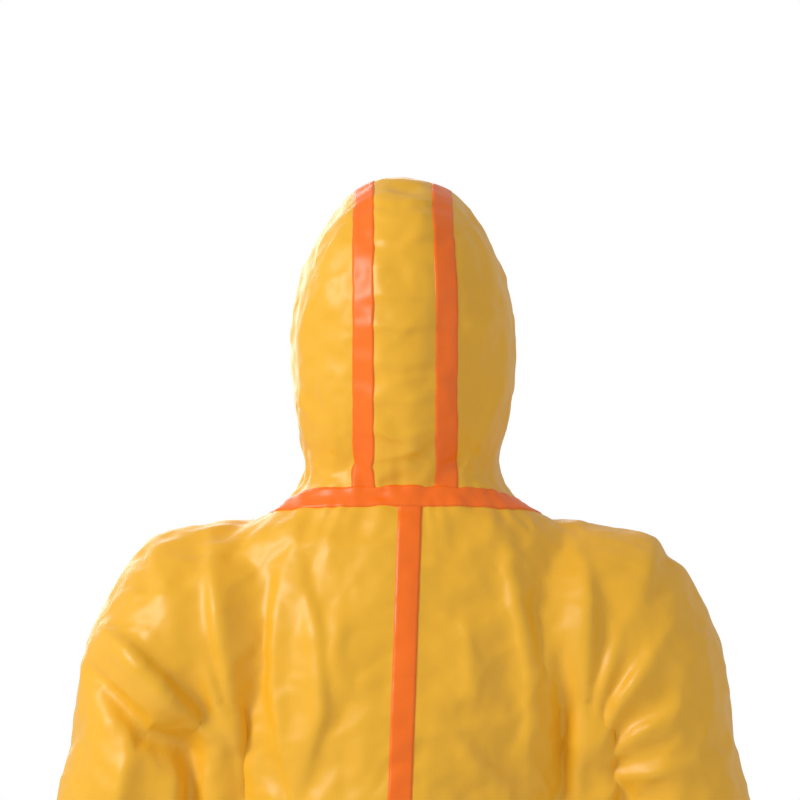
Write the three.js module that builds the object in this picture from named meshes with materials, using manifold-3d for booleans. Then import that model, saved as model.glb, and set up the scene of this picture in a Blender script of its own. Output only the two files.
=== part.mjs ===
// A hooded chemical protective coverall, standing open as if worn, in millimetres.
// +Z is up, the front faces -Y and the wearer's left is +X. z = 0 is the plane of the ankle hems.
// The cloth is built as the real suit is cut: panels that meet at seams, with a welded tape over each seam.
// Where a limb bends, a loose stretch of cloth (neck, shoulder, elbow, seat, knee) joins the firm stretches.
import * as THREE from "three";
import { mergeVertices } from "three/addons/utils/BufferGeometryUtils.js";
import Module from "manifold-3d";

const wasm = await Module();
wasm.setup();

// ---- driving dimensions ----
const CLOTH = 2.5; // thickness of every cloth wall
const TAPE = 0.9; // thickness of a seam tape
const TAPE_WIDTH = 22;
const GAP = 0.4; // clearance between pieces that touch
const SEAM = 0.2; // half of the gap between two panels at a seam

const CROWN = 1730; // top of the hood
const NECK = 1420; // neck seam at the sides of the neck
const ARMPIT = 1198;
const WAIST = 1000;
const HIP_LINE = 868; // lower edge of the firm trunk
const CROTCH = 716;
const THIGH_TOP = 640;
const KNEE = 430;
const SLEEVE_TOP = 1265.5; // upper end of the firm sleeve
const ELBOW = new THREE.Vector3(260, 8, 1050);
const WRIST = new THREE.Vector3(290, -82, 806);
const ARMHOLE = new THREE.Vector3(141, 0, 1306); // middle of the slanted plane of the armhole
const ARMHOLE_SLANT = 8; // degrees the armhole leans in towards the neck
const BOX_POWER = 2.3; // roundness of the trunk's section: 2 is an ellipse

const ZIP_TOP = 1426;
const ZIP_BOTTOM = 764;
const ZIP_NECK_DEPTH = 94; // how far the zip stands in front of the middle at the neck seam
const ZIP_NECK_HEIGHT = 1401;
const ZIP_LEAN = 0.06; // the zip's run forward per millimetre down
const COIL_WIDTH = 6;
const COIL_DEPTH = 2.6;

const HOOD_FIRM = 1472; // lower edge of the firm hood
const HOOD_SEAM_X = 36; // the two hood seams, each side of the middle
const FACE_CENTRE = 1588;
const FACE_HALF_WIDTH = 78;
const FACE_HALF_HEIGHT = 102;
const FACE_ELASTIC_RADIUS = 4.5;

const CUFF_LENGTH = 26;
const ANKLE_LENGTH = 26;
const ELASTIC = 4; // thickness of a gathered elastic hem

const FLAP_HALF_WIDTH = 33;
const FLAP_CLOTH = 1.4;
const FLAP_RISE = 10; // how far the flap arches over the zip slider
const FLAP_TOP = 1431;
const FLAP_BOTTOM = 752;

const YELLOW = 0xe9a81c;
const ORANGE = 0xff6a08;

// ---- smooth curves through a few stations ----
// keys is a list of [place, value, value, ...]; gives the values at any place, on a smooth curve.
function along(keys) {
  const slope = (i, c) => {
    const a = keys[Math.max(i - 1, 0)];
    const b = keys[Math.min(i + 1, keys.length - 1)];
    return (b[c] - a[c]) / (b[0] - a[0]);
  };
  return (place) => {
    let i = 0;
    while (i < keys.length - 2 && place > keys[i + 1][0]) i++;
    const [a, b] = [keys[i], keys[i + 1]];
    const h = b[0] - a[0];
    const t = THREE.MathUtils.clamp((place - a[0]) / h, 0, 1);
    const [t2, t3] = [t * t, t * t * t];
    return a.slice(1).map((_, n) => {
      const c = n + 1;
      return (
        (2 * t3 - 3 * t2 + 1) * a[c] +
        (t3 - 2 * t2 + t) * h * slope(i, c) +
        (3 * t2 - 2 * t3) * b[c] +
        (t3 - t2) * h * slope(i + 1, c)
      );
    });
  };
}

const power = (x, p) => Math.sign(x) * Math.abs(x) ** p;
const rad = THREE.MathUtils.degToRad;
const steps = (from, to, n) => Array.from({ length: n + 1 }, (_, i) => from + ((to - from) * i) / n);

// ---- the trunk's outer surface ----
// The neck seam runs lower in front than at the nape, so the rings near it lean.
const lean = (height) => 0.2 * THREE.MathUtils.smoothstep(height, 1330, NECK);
const zipDepth = (z) => ZIP_NECK_DEPTH + ZIP_LEAN * (ZIP_NECK_HEIGHT - z);
const frontDepth = (height) => (trunkSize(height)[2] * zipDepth(height)) / (1 - ZIP_LEAN * lean(height));
// height, half width, depth of the back, share of the front's depth that is left
const trunkSize = along([
  [CROTCH, 96, 44, 0.5],
  [CROTCH + 12, 138, 78, 0.78],
  [CROTCH + 26, 162, 102, 0.95],
  [CROTCH + 40, 173, 116, 1],
  [CROTCH + 90, 183, 134, 1],
  [860, 184, 138, 1],
  [WAIST, 164, 120, 1],
  [1120, 156, 122, 1],
  [ARMPIT - 4, 158, 124, 1],
  [1270, 165, 122, 1],
  [1330, 167, 116, 1],
  [1380, 165, 102, 1],
  [1402, 150, 90, 1],
  [1413, 128, 82, 1],
  [NECK, 108, 76, 1],
]);

// Angle -90 is the middle of the front, 0 the left side and 90 the middle of the back.
function trunk(angle, height) {
  const [half, back] = trunkSize(height);
  const side = Math.sin(angle) < 0 ? frontDepth(height) : back;
  const y = side * power(Math.sin(angle), 2 / BOX_POWER);
  return new THREE.Vector3(half * power(Math.cos(angle), 2 / BOX_POWER), y, height + lean(height) * y);
}
// Angles that keep a fixed distance from the middle line or from the side seam at every height.
const fromMiddle = (x, end) => (height) =>
  end * Math.acos((Math.abs(x) / trunkSize(height)[0]) ** (BOX_POWER / 2)) +
  (x < 0 ? end * 2 * Math.asin((Math.abs(x) / trunkSize(height)[0]) ** (BOX_POWER / 2)) : 0);
const fromSide = (y) => (height) => {
  const depth = y < 0 ? frontDepth(height) : trunkSize(height)[1];
  return Math.sign(y) * Math.asin((Math.abs(y) / depth) ** (BOX_POWER / 2));
};

// ---- the hood's outer surface ----
// height, half width, depth of the front, depth of the back
const hoodSize = along([
  [NECK, 108, 93, 76],
  [1452, 89, 89, 82],
  [1500, 95, 100, 100],
  [1560, 104, 112, 114],
  [1620, 100, 113, 117],
  [1668, 84, 96, 103],
  [1702, 60, 70, 80],
  [1723, 30, 36, 44],
  [CROWN, 0, 0, 0],
]);
const hoodLean = (height) => 0.2 * (1 - THREE.MathUtils.smoothstep(height, NECK, 1520));
function hood(angle, height) {
  const [half, front, back] = hoodSize(height);
  const y = (Math.sin(angle) < 0 ? front : back) * Math.sin(angle);
  return new THREE.Vector3(half * Math.cos(angle), y, height + hoodLean(height) * y);
}

// ---- the sleeve's and the leg's outer surfaces ----
// minus the height of the section's centre, x, y, turn of the section (90 stands upright), half widths, forward turn
const sleeveSize = along([
  [-ARMHOLE.z, ARMHOLE.x + 2 * GAP, 0, 90 + ARMHOLE_SLANT, 107, 88, 0],
  [-1303, 180.5, 0, 81, 102, 91, 0],
  [-1292, 203, 0, 70, 96, 94, 0],
  [-1267, 224, 1, 55, 85, 95, 0],
  [-1196, 243, 3, 20, 66, 90, 0],
  [-1138, 250, 5, 10, 72, 82, 0],
  [-ELBOW.z, ELBOW.x, ELBOW.y, 8, 67, 70, 10],
  [-940, 273, -30, 7, 60, 63, 20],
  [-860, 284, -60, 7, 50, 52, 20],
  [-WRIST.z, WRIST.x, WRIST.y, 7, 37, 39, 20],
  [-WRIST.z + CUFF_LENGTH, 293, -91, 7, 38, 40, 20],
]);
function sleeve(angle, place) {
  const [x, y, turn, wide, deep, forward] = sleeveSize(place);
  const out = new THREE.Vector3(Math.cos(rad(turn)), 0, Math.sin(rad(turn)));
  const back = new THREE.Vector3(0, Math.cos(rad(forward)), -Math.sin(rad(forward)));
  return new THREE.Vector3(x, y, -place)
    .addScaledVector(out, wide * Math.cos(angle))
    .addScaledVector(back, -deep * Math.sin(angle));
}

// minus the height of the section's centre, x, half width, half depth
const legSize = along([
  [-830, 92, 72, 98],
  [-775, 97, 84, 111],
  [-THIGH_TOP, 97, 84, 106],
  [-KNEE, 104, 69, 76],
  [-200, 109, 60, 68],
  [-ANKLE_LENGTH, 111, 49, 57],
  [0, 111, 50, 58],
]);
function leg(angle, place) {
  const [x, wide, deep] = legSize(place);
  return new THREE.Vector3(x + wide * Math.cos(angle), -deep * Math.sin(angle), -place);
}

// ---- cloth solids ----
function outward(surface, u, v) {
  const e = 1e-3;
  const du = surface(u + e, v).sub(surface(u - e, v));
  const dv = surface(u, v + e).sub(surface(u, v - e));
  const n = du.cross(dv);
  return n.lengthSq() < 1e-16 ? new THREE.Vector3(0, 0, 1) : n.normalize();
}

// A panel of cloth: a box bent onto a surface. us and vs are the grid lines; a line can be a function of v.
// lift moves it off the surface. A ring closes on itself, so its two end faces are left out.
function panel(surface, us, vs, { wall = CLOTH, lift = 0, closed = false, edge = null } = {}) {
  const [nu, nv] = [us.length - 1, vs.length - 1];
  const box = new THREE.BoxGeometry(nu, nv, 1, nu, nv, 1);
  const position = box.getAttribute("position");
  for (let i = 0; i < position.count; i++) {
    const line = us[Math.round(position.getX(i) + nu / 2)];
    let v = vs[Math.round(position.getY(i) + nv / 2)];
    const u = typeof line === "function" ? line(v) : line;
    if (edge) v = edge(u, v);
    const depth = lift - (position.getZ(i) < 0 ? wall : 0);
    const p = surface(u, v).addScaledVector(outward(surface, u, v), depth);
    position.setXYZ(i, p.x, p.y, p.z);
  }
  if (closed) {
    const ends = box.groups[0].count + box.groups[1].count;
    box.setIndex(Array.from(box.index.array.slice(ends)));
  }
  return welded(box);
}

// A closed body inside a surface, from a ball's net: rings lists the places of its rings, with a pole at each end.
function body(surface, around, rings, lift = 0) {
  const ball = new THREE.SphereGeometry(1, around, rings.length + 1);
  const [position, uv] = [ball.getAttribute("position"), ball.getAttribute("uv")];
  const ring = (v) => {
    const middle = new THREE.Vector3();
    for (let k = 0; k < around; k++) middle.addScaledVector(surface((2 * Math.PI * k) / around, v), 1 / around);
    return middle;
  };
  for (let i = 0; i < position.count; i++) {
    const row = Math.round((1 - uv.getY(i)) * (rings.length + 1));
    const angle = 2 * Math.PI * uv.getX(i);
    const v = rings[THREE.MathUtils.clamp(row - 1, 0, rings.length - 1)];
    const pole = row === 0 || row === rings.length + 1;
    const p = pole ? ring(v) : surface(angle, v).addScaledVector(outward(surface, angle, v), lift);
    position.setXYZ(i, p.x, p.y, p.z);
  }
  return welded(ball);
}

function welded(geometry) {
  geometry.deleteAttribute("normal");
  geometry.deleteAttribute("uv");
  geometry.clearGroups();
  return mergeVertices(geometry, 1e-3);
}

// ---- joins and cuts ----
function solid(geometry) {
  const g = welded(geometry.index ? geometry.clone() : geometry);
  return new wasm.Manifold(
    new wasm.Mesh({
      numProp: 3,
      vertProperties: new Float32Array(g.getAttribute("position").array),
      triVerts: new Uint32Array(g.index.array),
    }),
  );
}
function geometryOf(made) {
  const mesh = made.getMesh();
  return new THREE.BufferGeometry()
    .setAttribute("position", new THREE.BufferAttribute(new Float32Array(mesh.vertProperties), 3))
    .setIndex(new THREE.BufferAttribute(new Uint32Array(mesh.triVerts), 1));
}
// A solid box between two corners.
function block(x0, x1, y0, y1, z0, z1) {
  const box = new THREE.BoxGeometry(x1 - x0, y1 - y0, z1 - z0);
  return solid(box.translate((x0 + x1) / 2, (y0 + y1) / 2, (z0 + z1) / 2));
}
const FAR = 2500;

// ---- the object ----
const suit = new THREE.Group();
const cloth = new THREE.MeshStandardMaterial({ color: YELLOW, roughness: 0.45, metalness: 0 });
const taped = new THREE.MeshStandardMaterial({ color: ORANGE, roughness: 0.35, metalness: 0 });
const elastic = new THREE.MeshStandardMaterial({ color: 0xdb9a18, roughness: 0.7, metalness: 0 });
const webbing = new THREE.MeshStandardMaterial({ color: 0xe8e4da, roughness: 0.8, metalness: 0 });
const nylon = new THREE.MeshStandardMaterial({ color: 0xf0a012, roughness: 0.35, metalness: 0 });
const adhesive = new THREE.MeshStandardMaterial({ color: 0xf4f2ec, roughness: 0.6, metalness: 0 });

function add(name, geometry, material) {
  const mesh = new THREE.Mesh(geometry, material);
  mesh.name = name;
  suit.add(mesh);
  return mesh;
}
// The left piece and its mirror image.
function pair(name, geometry, material) {
  add(`${name}_left`, geometry, material);
  add(`${name}_right`, geometry, material).scale.x = -1;
}

const HALF_TAPE = TAPE_WIDTH / 2;
const BACK = Math.PI / 2;
const onTape = { wall: TAPE, lift: GAP + TAPE };
const trunkRows = [HIP_LINE, 930, WAIST - 12, WAIST + 12, 1070, 1130, 1185, 1235, 1285, 1330, 1365, 1388, 1402, 1412, NECK];
const backLines = [75, 60, 45, 30, 15].map(rad);

function trunkPanels() {
  const outside = new THREE.BoxGeometry(FAR, FAR, FAR).translate(FAR / 2, 0, 0);
  const armhole = solid(outside.rotateY(-rad(ARMHOLE_SLANT)).translate(ARMHOLE.x, ARMHOLE.y, ARMHOLE.z))
    .intersect(block(0, FAR, -FAR, FAR, ARMPIT - 15, FAR));
  const backLeft = panel(
    trunk,
    [fromSide(SEAM), fromSide(HALF_TAPE), ...backLines.slice().reverse(), fromMiddle(HALF_TAPE, 1), fromMiddle(SEAM, 1)],
    trunkRows,
  );
  pair("back_panel", geometryOf(solid(backLeft).subtract(armhole)), cloth);
  const zipEdge = COIL_WIDTH / 2 + 2;
  const frontLeft = panel(
    trunk,
    [fromMiddle(zipEdge, -1), fromMiddle(18, -1), ...backLines.map((a) => -a), fromSide(-HALF_TAPE), fromSide(-SEAM)],
    trunkRows,
  );
  pair("front_panel", geometryOf(solid(frontLeft).subtract(armhole)), cloth);
}

function trunkTapes() {
  const middleBack = [HALF_TAPE, SEAM, -SEAM, -HALF_TAPE].map((x) => fromMiddle(x, 1));
  const belowNeck = trunkRows.slice(0, -2);
  add("centre_back_tape", panel(trunk, middleBack, belowNeck, onTape), taped);
  const side = [-HALF_TAPE, -SEAM, SEAM, HALF_TAPE].map(fromSide);
  const belowArm = trunkRows.filter((v) => v < ARMPIT);
  pair("side_seam_tape", panel(trunk, side, belowArm, onTape), taped);
}

// The tape round the neck seam, open in front for the zip. It wraps the foot of the hood and the top of the trunk.
const neckLines = (clear) => {
  const step = Math.PI / 12;
  const half = steps(-BACK + 2 * step, BACK, 10);
  return [-BACK + clear, -BACK + step, ...half, ...half.slice(0, -1).reverse().map((a) => Math.PI - a), 1.5 * Math.PI - step, 1.5 * Math.PI - clear];
};
function neckTape() {
  const lines = neckLines(rad(17));
  add("neck_seam_tape", panel(hood, lines, [NECK + 1, NECK + 18], { wall: TAPE, lift: GAP + TAPE + 0.8 }), taped);
}

function waistElastic() {
  const half = [...backLines.slice().reverse(), fromMiddle(HALF_TAPE, 1), fromMiddle(SEAM, 1)];
  const other = half.map((line) => (v) => Math.PI - (typeof line === "function" ? line(v) : line)).reverse();
  const inside = { wall: 1.5, lift: -CLOTH - GAP };
  add("waist_elastic", panel(trunk, [...half, ...other], [WAIST - 12, WAIST + 12], inside), webbing);
}

// ---- the seat and crotch: trunk and two legs joined, then hollowed ----
function seatPanel() {
  const rings = [HIP_LINE + 40, HIP_LINE - 10, CROTCH + 90, CROTCH + 62, CROTCH + 40, CROTCH + 26, CROTCH + 12, CROTCH];
  const trunkPart = (lift) => solid(body(trunk, 28, rings, lift));
  const legPart = (lift, x) => {
    const made = solid(body(leg, 20, steps(-830, -THIGH_TOP + 40, 5).reverse(), lift));
    return x > 0 ? made : made.scale([-1, 1, 1]);
  };
  const whole = (lift) => trunkPart(lift).add(legPart(lift, 1)).add(legPart(lift, -1));
  const shell = whole(0).subtract(whole(-CLOTH));
  const lower = block(-FAR, FAR, -FAR, FAR, -FAR, THIGH_TOP + 1);
  const upper = block(-FAR, FAR, -FAR, FAR, HIP_LINE - 1, FAR);
  const slot = block(-COIL_WIDTH, COIL_WIDTH, -FAR, -60, ZIP_BOTTOM - 12, FAR);
  add("seat_panel", geometryOf(shell.subtract(lower).subtract(upper).subtract(slot)), cloth);
}

// ---- zip: everything on it is built on the zip's own line, then leaned with it ----
const zipAngle = Math.atan(ZIP_LEAN);
const zipLength = (ZIP_TOP - ZIP_BOTTOM) / Math.cos(zipAngle);
function onZip(geometry, above = 0) {
  const z = ZIP_BOTTOM + above * Math.cos(zipAngle);
  return geometry.rotateX(-zipAngle).translate(0, -zipDepth(z) + CLOTH / 2, z);
}
function bar(width, depth, length, x, y, above) {
  return onZip(new THREE.BoxGeometry(width, depth, length).translate(x, y, length / 2), above);
}
const SLIDER_LENGTH = 14;
const STOP_LENGTH = 4;
function zip() {
  add("zip_coil", bar(COIL_WIDTH, COIL_DEPTH, zipLength - 2 * STOP_LENGTH, 0, 0, STOP_LENGTH), nylon);
  add("zip_bottom_stop", bar(COIL_WIDTH + 3, COIL_DEPTH + 1, STOP_LENGTH - GAP, 0, 0, 0), nylon);
  const topPlace = zipLength - STOP_LENGTH + GAP;
  add("zip_top_stop", bar(COIL_WIDTH + 3, COIL_DEPTH + 1, STOP_LENGTH - GAP, 0, 0, topPlace), nylon);
  const tapeWidth = 13;
  const tapeX = COIL_WIDTH / 2 + GAP + tapeWidth / 2;
  const behind = CLOTH / 2 + GAP + 1.6;
  pair("zip_tape", bar(tapeWidth, 0.8, zipLength, tapeX, behind, 0), webbing);
  add("inner_flap", bar(44, 1, zipLength, 0, behind + 0.9 + GAP, 0), cloth);
}

const SLIDER_WALL = 1.4;
const PIN_RADIUS = 1.1;
const sliderTop = zipLength - STOP_LENGTH - 2;
const lugPlace = sliderTop - SLIDER_LENGTH / 2;
const lugY = -COIL_DEPTH / 2 - GAP - SLIDER_WALL - PIN_RADIUS - 0.9;
function slider() {
  const [inX, inY] = [COIL_WIDTH / 2 + GAP, COIL_DEPTH / 2 + GAP];
  const [outX, outY] = [inX + SLIDER_WALL, inY + SLIDER_WALL];
  const lip = inX - 1.6;
  const shape = new THREE.Shape(
    [
      [-outX, -outY], [outX, -outY], [outX, outY - 0.7], [lip, outY - 0.7], [lip, inY],
      [inX, inY], [inX, -inY], [-inX, -inY], [-inX, inY], [-lip, inY], [-lip, outY - 0.7], [-outX, outY - 0.7],
    ].map(([x, y]) => new THREE.Vector2(x, y)),
  );
  const length = SLIDER_LENGTH;
  let made = solid(onZip(new THREE.ExtrudeGeometry(shape, { depth: length, bevelEnabled: false }), sliderTop - length));
  const ear = new THREE.BoxGeometry(2.2, 2 * (PIN_RADIUS + 1.3) + 0.2, 6).translate(0, lugY + 0.4, 0);
  const hole = new THREE.CylinderGeometry(PIN_RADIUS + 0.4, PIN_RADIUS + 0.4, 6, 12).rotateZ(BACK);
  made = made.add(solid(onZip(ear, lugPlace)));
  made = made.subtract(solid(onZip(hole.translate(0, lugY, 0), lugPlace)));
  add("zip_slider", geometryOf(made), nylon);
}
// The pull tab hangs from a pin through the slider's ear.
function pull() {
  const pin = new THREE.CylinderGeometry(PIN_RADIUS, PIN_RADIUS, 7, 12).rotateZ(BACK).translate(0, lugY, 0);
  const arm = (x) => new THREE.BoxGeometry(1.8, 2, 10).translate(x, lugY, -4.5);
  const plate = new THREE.Shape();
  plate.moveTo(-4.4, 0).lineTo(4.4, 0).lineTo(5, -14);
  plate.absarc(0, -14, 5, 0, Math.PI, true).closePath();
  const tab = new THREE.ExtrudeGeometry(plate, { depth: 1.6, bevelEnabled: false, curveSegments: 8 });
  tab.rotateX(BACK).translate(0, lugY + 0.8, -8);
  const made = [pin, arm(-2.6), arm(2.6), tab].map((g) => solid(onZip(g, lugPlace)));
  add("zip_pull", geometryOf(made[0].add(made[1]).add(made[2]).add(made[3])), nylon);
}

// ---- storm flap: an arched strip over the zip, hinged along its left edge ----
function flapShape(inner, outer, from, to) {
  // It arches over the slider, and its sewn edge bends back down to the left front panel.
  const arch = (x) => FLAP_RISE * (1 - THREE.MathUtils.smoothstep(Math.abs(x), 7, FLAP_HALF_WIDTH - 5));
  const rise = (x) => arch(x) - 1.6 * THREE.MathUtils.smoothstep(x, 20, FLAP_HALF_WIDTH);
  const xs = steps(from, to, 8);
  const points = (lift, list) => list.map((x) => new THREE.Vector2(x, -(rise(x) + lift)));
  return new THREE.Shape([...points(outer, xs), ...points(inner, xs.slice().reverse())]);
}
function flap() {
  const base = CLOTH / 2 - 0.1;
  const above = (FLAP_BOTTOM - ZIP_BOTTOM) / Math.cos(zipAngle);
  const length = (FLAP_TOP - FLAP_BOTTOM) / Math.cos(zipAngle);
  const strip = (inner, outer, from, to) =>
    onZip(new THREE.ExtrudeGeometry(flapShape(inner, outer, from, to), { depth: length, bevelEnabled: false }), above);
  const skin = base + 1.2;
  add("storm_flap", strip(skin, skin + FLAP_CLOTH, -FLAP_HALF_WIDTH, FLAP_HALF_WIDTH), cloth);
  add("flap_adhesive_strip", strip(skin - 0.9 - 0.3, skin - 0.3, -FLAP_HALF_WIDTH + 2, -FLAP_HALF_WIDTH + 14), adhesive);
}

// ---- hood: a dome cut by the two seams and the face opening ----
const hoodRows = [HOOD_FIRM, 1500, 1530, 1560, 1590, 1620, 1648, 1672, 1692, 1708, 1719, 1726];
function hoodPanels() {
  const dome = (lift) => solid(body(hood, 36, hoodRows.slice().reverse(), lift));
  // The lower pole lies in the plane of the lowest ring, so the inner dome is lengthened down to open the hood.
  const openInner = (lift) => dome(lift).add(solid(body(hood, 36, [HOOD_FIRM, HOOD_FIRM - 30], lift)));
  const opening = new THREE.Shape().absellipse(0, 0, FACE_HALF_WIDTH, FACE_HALF_HEIGHT, 0, 2 * Math.PI);
  const prism = new THREE.ExtrudeGeometry(opening, { depth: 200, bevelEnabled: false, curveSegments: 20 });
  const face = solid(prism.rotateX(BACK).translate(0, -30, FACE_CENTRE));
  const shell = dome(0).subtract(openInner(-CLOTH)).subtract(face);
  const middle = block(-HOOD_SEAM_X + SEAM, HOOD_SEAM_X - SEAM, -FAR, FAR, -FAR, FAR);
  const left = block(HOOD_SEAM_X + SEAM, FAR, -FAR, FAR, -FAR, FAR);
  const crown = block(-FAR, FAR, -60, FAR, -FAR, FAR).add(block(-FAR, FAR, -FAR, FAR, FACE_CENTRE, FAR));
  // The centre strip ends at the brow; below the face opening the two side panels meet under the chin.
  add("hood_centre_panel", geometryOf(shell.intersect(middle).intersect(crown)), cloth);
  const chin = block(SEAM, HOOD_SEAM_X + 1, -FAR, -60, -FAR, FACE_CENTRE);
  pair("hood_side_panel", geometryOf(shell.intersect(left.add(chin))), cloth);
  const strip = block(HOOD_SEAM_X - HALF_TAPE, HOOD_SEAM_X + HALF_TAPE, -FAR, FAR, -FAR, FAR);
  const tapeShell = dome(GAP + TAPE).subtract(dome(GAP)).subtract(face).intersect(strip).intersect(crown);
  const aboveNeck = block(-FAR, FAR, -FAR, FAR, HOOD_FIRM + 10, FAR);
  const pieces = tapeShell.intersect(aboveNeck).decompose();
  pieces.sort((a, b) => b.volume() - a.volume());
  pair("hood_seam_tape", geometryOf(pieces[0]), taped);
}

// The elastic hem round the face opening follows the hood's front just in front of the cut edge.
function faceElastic() {
  const middle = (t) => {
    const [x, z] = [(FACE_HALF_WIDTH - 2) * Math.cos(t), FACE_CENTRE + (FACE_HALF_HEIGHT - 2) * Math.sin(t)];
    const [half, front] = hoodSize(z);
    const y = -front * Math.sqrt(Math.max(0, 1 - (x / half) ** 2));
    return new THREE.Vector3(x, y - FACE_ELASTIC_RADIUS - GAP, z + hoodLean(z) * y);
  };
  const tube = (v, t) => {
    const run = middle(t + 0.01).sub(middle(t - 0.01)).normalize();
    const side = new THREE.Vector3(0, 1, 0).cross(run).normalize();
    const up = run.clone().cross(side);
    return middle(t)
      .addScaledVector(side, FACE_ELASTIC_RADIUS * Math.cos(v))
      .addScaledVector(up, FACE_ELASTIC_RADIUS * Math.sin(v));
  };
  const torus = new THREE.TorusGeometry(2, 1, 8, 36);
  const [position, uv] = [torus.getAttribute("position"), torus.getAttribute("uv")];
  for (let i = 0; i < position.count; i++) {
    const p = tube(-2 * Math.PI * uv.getY(i), 2 * Math.PI * uv.getX(i));
    position.setXYZ(i, p.x, p.y, p.z);
  }
  add("face_elastic", welded(torus), elastic);
}

function neckPanel() {
  const lines = neckLines(rad(2));
  const cloak = solid(panel(hood, lines, [NECK + 3, NECK + 18, 1452, HOOD_FIRM - CLOTH]));
  // The zip runs up into a notch at the throat.
  const notch = block(-24, 24, -FAR, -60, -FAR, ZIP_TOP + 4);
  add("neck_panel", geometryOf(cloak.subtract(notch)), cloth);
}

// ---- sleeves ----
const AROUND = 20;
const UNDER = Math.PI; // the seam under the arm, and inside the leg
// Lines round a limb from one side of its seam to the other, with a line at each edge of the seam's tape.
function limbLines(radius) {
  const [gap, tape] = [SEAM / radius, HALF_TAPE / radius];
  return [gap, tape].concat(steps(tape, 2 * Math.PI - tape, AROUND - 2).slice(1, -1), [2 * Math.PI - tape, 2 * Math.PI - gap])
    .map((a) => a - UNDER);
}
const tapeLines = (radius) => [-HALF_TAPE, -SEAM, SEAM, HALF_TAPE].map((d) => d / radius + UNDER);
// Runs a limb's stations between two slanted ends. rise is how much higher the front end of each edge lies.
const slanted = (from, fromRise, to, toRise) => (u, t) => {
  const front = Math.sin(u);
  return THREE.MathUtils.lerp(-from - fromRise * front, -to - toRise * front, t);
};
const ELBOW_CLEAR = 47; // from the elbow's axis to the middle of each slanted end
const ELBOW_RISE = 42;
function sleeves() {
  const round = steps(0, 2 * Math.PI, AROUND);
  const shoulderRows = [-ARMHOLE.z, -1305, -1303, -1298, -1292, -1281, -SLEEVE_TOP - 3];
  pair("shoulder_panel", panel(sleeve, round, shoulderRows, { closed: true }), cloth);
  const upper = slanted(SLEEVE_TOP, 0, ELBOW.z + ELBOW_CLEAR, ELBOW_RISE);
  const rows = steps(0, 1, 6);
  pair("upper_sleeve", panel(sleeve, limbLines(71), rows, { edge: upper }), cloth);
  pair("upper_sleeve_tape", panel(sleeve, tapeLines(71), rows, { ...onTape, edge: upper }), taped);
  const elbow = slanted(ELBOW.z + ELBOW_CLEAR - 1, ELBOW_RISE, ELBOW.z - ELBOW_CLEAR + 1, -ELBOW_RISE);
  pair("elbow_panel", panel(sleeve, round, steps(0, 1, 3), { closed: true, edge: elbow }), cloth);
  const lower = slanted(ELBOW.z - ELBOW_CLEAR, -ELBOW_RISE, WRIST.z, 0);
  pair("forearm_sleeve", panel(sleeve, limbLines(56), rows, { edge: lower }), cloth);
  pair("forearm_tape", panel(sleeve, tapeLines(56), rows, { ...onTape, edge: lower }), taped);
  const cuffRows = [-WRIST.z + GAP, -WRIST.z + CUFF_LENGTH];
  pair("cuff_elastic", panel(sleeve, round, cuffRows, { wall: ELASTIC, lift: 1, closed: true }), elastic);
}

// ---- legs ----
const KNEE_CLEAR = 45;
const KNEE_RISE = 38;
function legs() {
  const round = steps(0, 2 * Math.PI, AROUND);
  const rows = steps(0, 1, 5);
  const thigh = slanted(THIGH_TOP, 0, KNEE + KNEE_CLEAR, -KNEE_RISE);
  pair("thigh_leg", panel(leg, limbLines(80), rows, { edge: thigh }), cloth);
  pair("thigh_tape", panel(leg, tapeLines(80), rows, { ...onTape, edge: thigh }), taped);
  const knee = slanted(KNEE + KNEE_CLEAR - 1, -KNEE_RISE, KNEE - KNEE_CLEAR + 1, KNEE_RISE);
  pair("knee_panel", panel(leg, round, steps(0, 1, 3), { closed: true, edge: knee }), cloth);
  const shin = slanted(KNEE - KNEE_CLEAR, KNEE_RISE, ANKLE_LENGTH, 0);
  pair("shin_leg", panel(leg, limbLines(62), rows, { edge: shin }), cloth);
  pair("shin_tape", panel(leg, tapeLines(62), rows, { ...onTape, edge: shin }), taped);
  const hemRows = [-ANKLE_LENGTH + GAP, 0];
  const hem = panel(leg, round, hemRows, { wall: ELASTIC, lift: 1, closed: true });
  // The lower edge is flat, so that the suit stands on it.
  const position = hem.getAttribute("position");
  for (let i = 0; i < position.count; i++) if (position.getZ(i) < 1) position.setZ(i, 0);
  pair("ankle_elastic", hem, elastic);
}

trunkPanels();
trunkTapes();
neckTape();
waistElastic();
seatPanel();
zip();
slider();
pull();
flap();
hoodPanels();
faceElastic();
neckPanel();
sleeves();
legs();

// The origin is the middle of the suit's box, on the plane of the ankle hems.
suit.updateMatrixWorld(true);
const box = new THREE.Box3().setFromObject(suit, true);
suit.position.set(0, -(box.min.y + box.max.y) / 2, -box.min.z);

export default suit;
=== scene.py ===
# %% [markdown]
# # A hooded chemical protective coverall
# This script dresses a finished mechanical part in cloth. The part already says where every zip, hem and joint is.
# The suit is made the way a tailor would see it: first its volume, then its openings, then its folds, then its seams.

# %% Load the part and measure it
import math

import bmesh
import bpy
import numpy as np
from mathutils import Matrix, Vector
from mathutils.bvhtree import BVHTree


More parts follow.
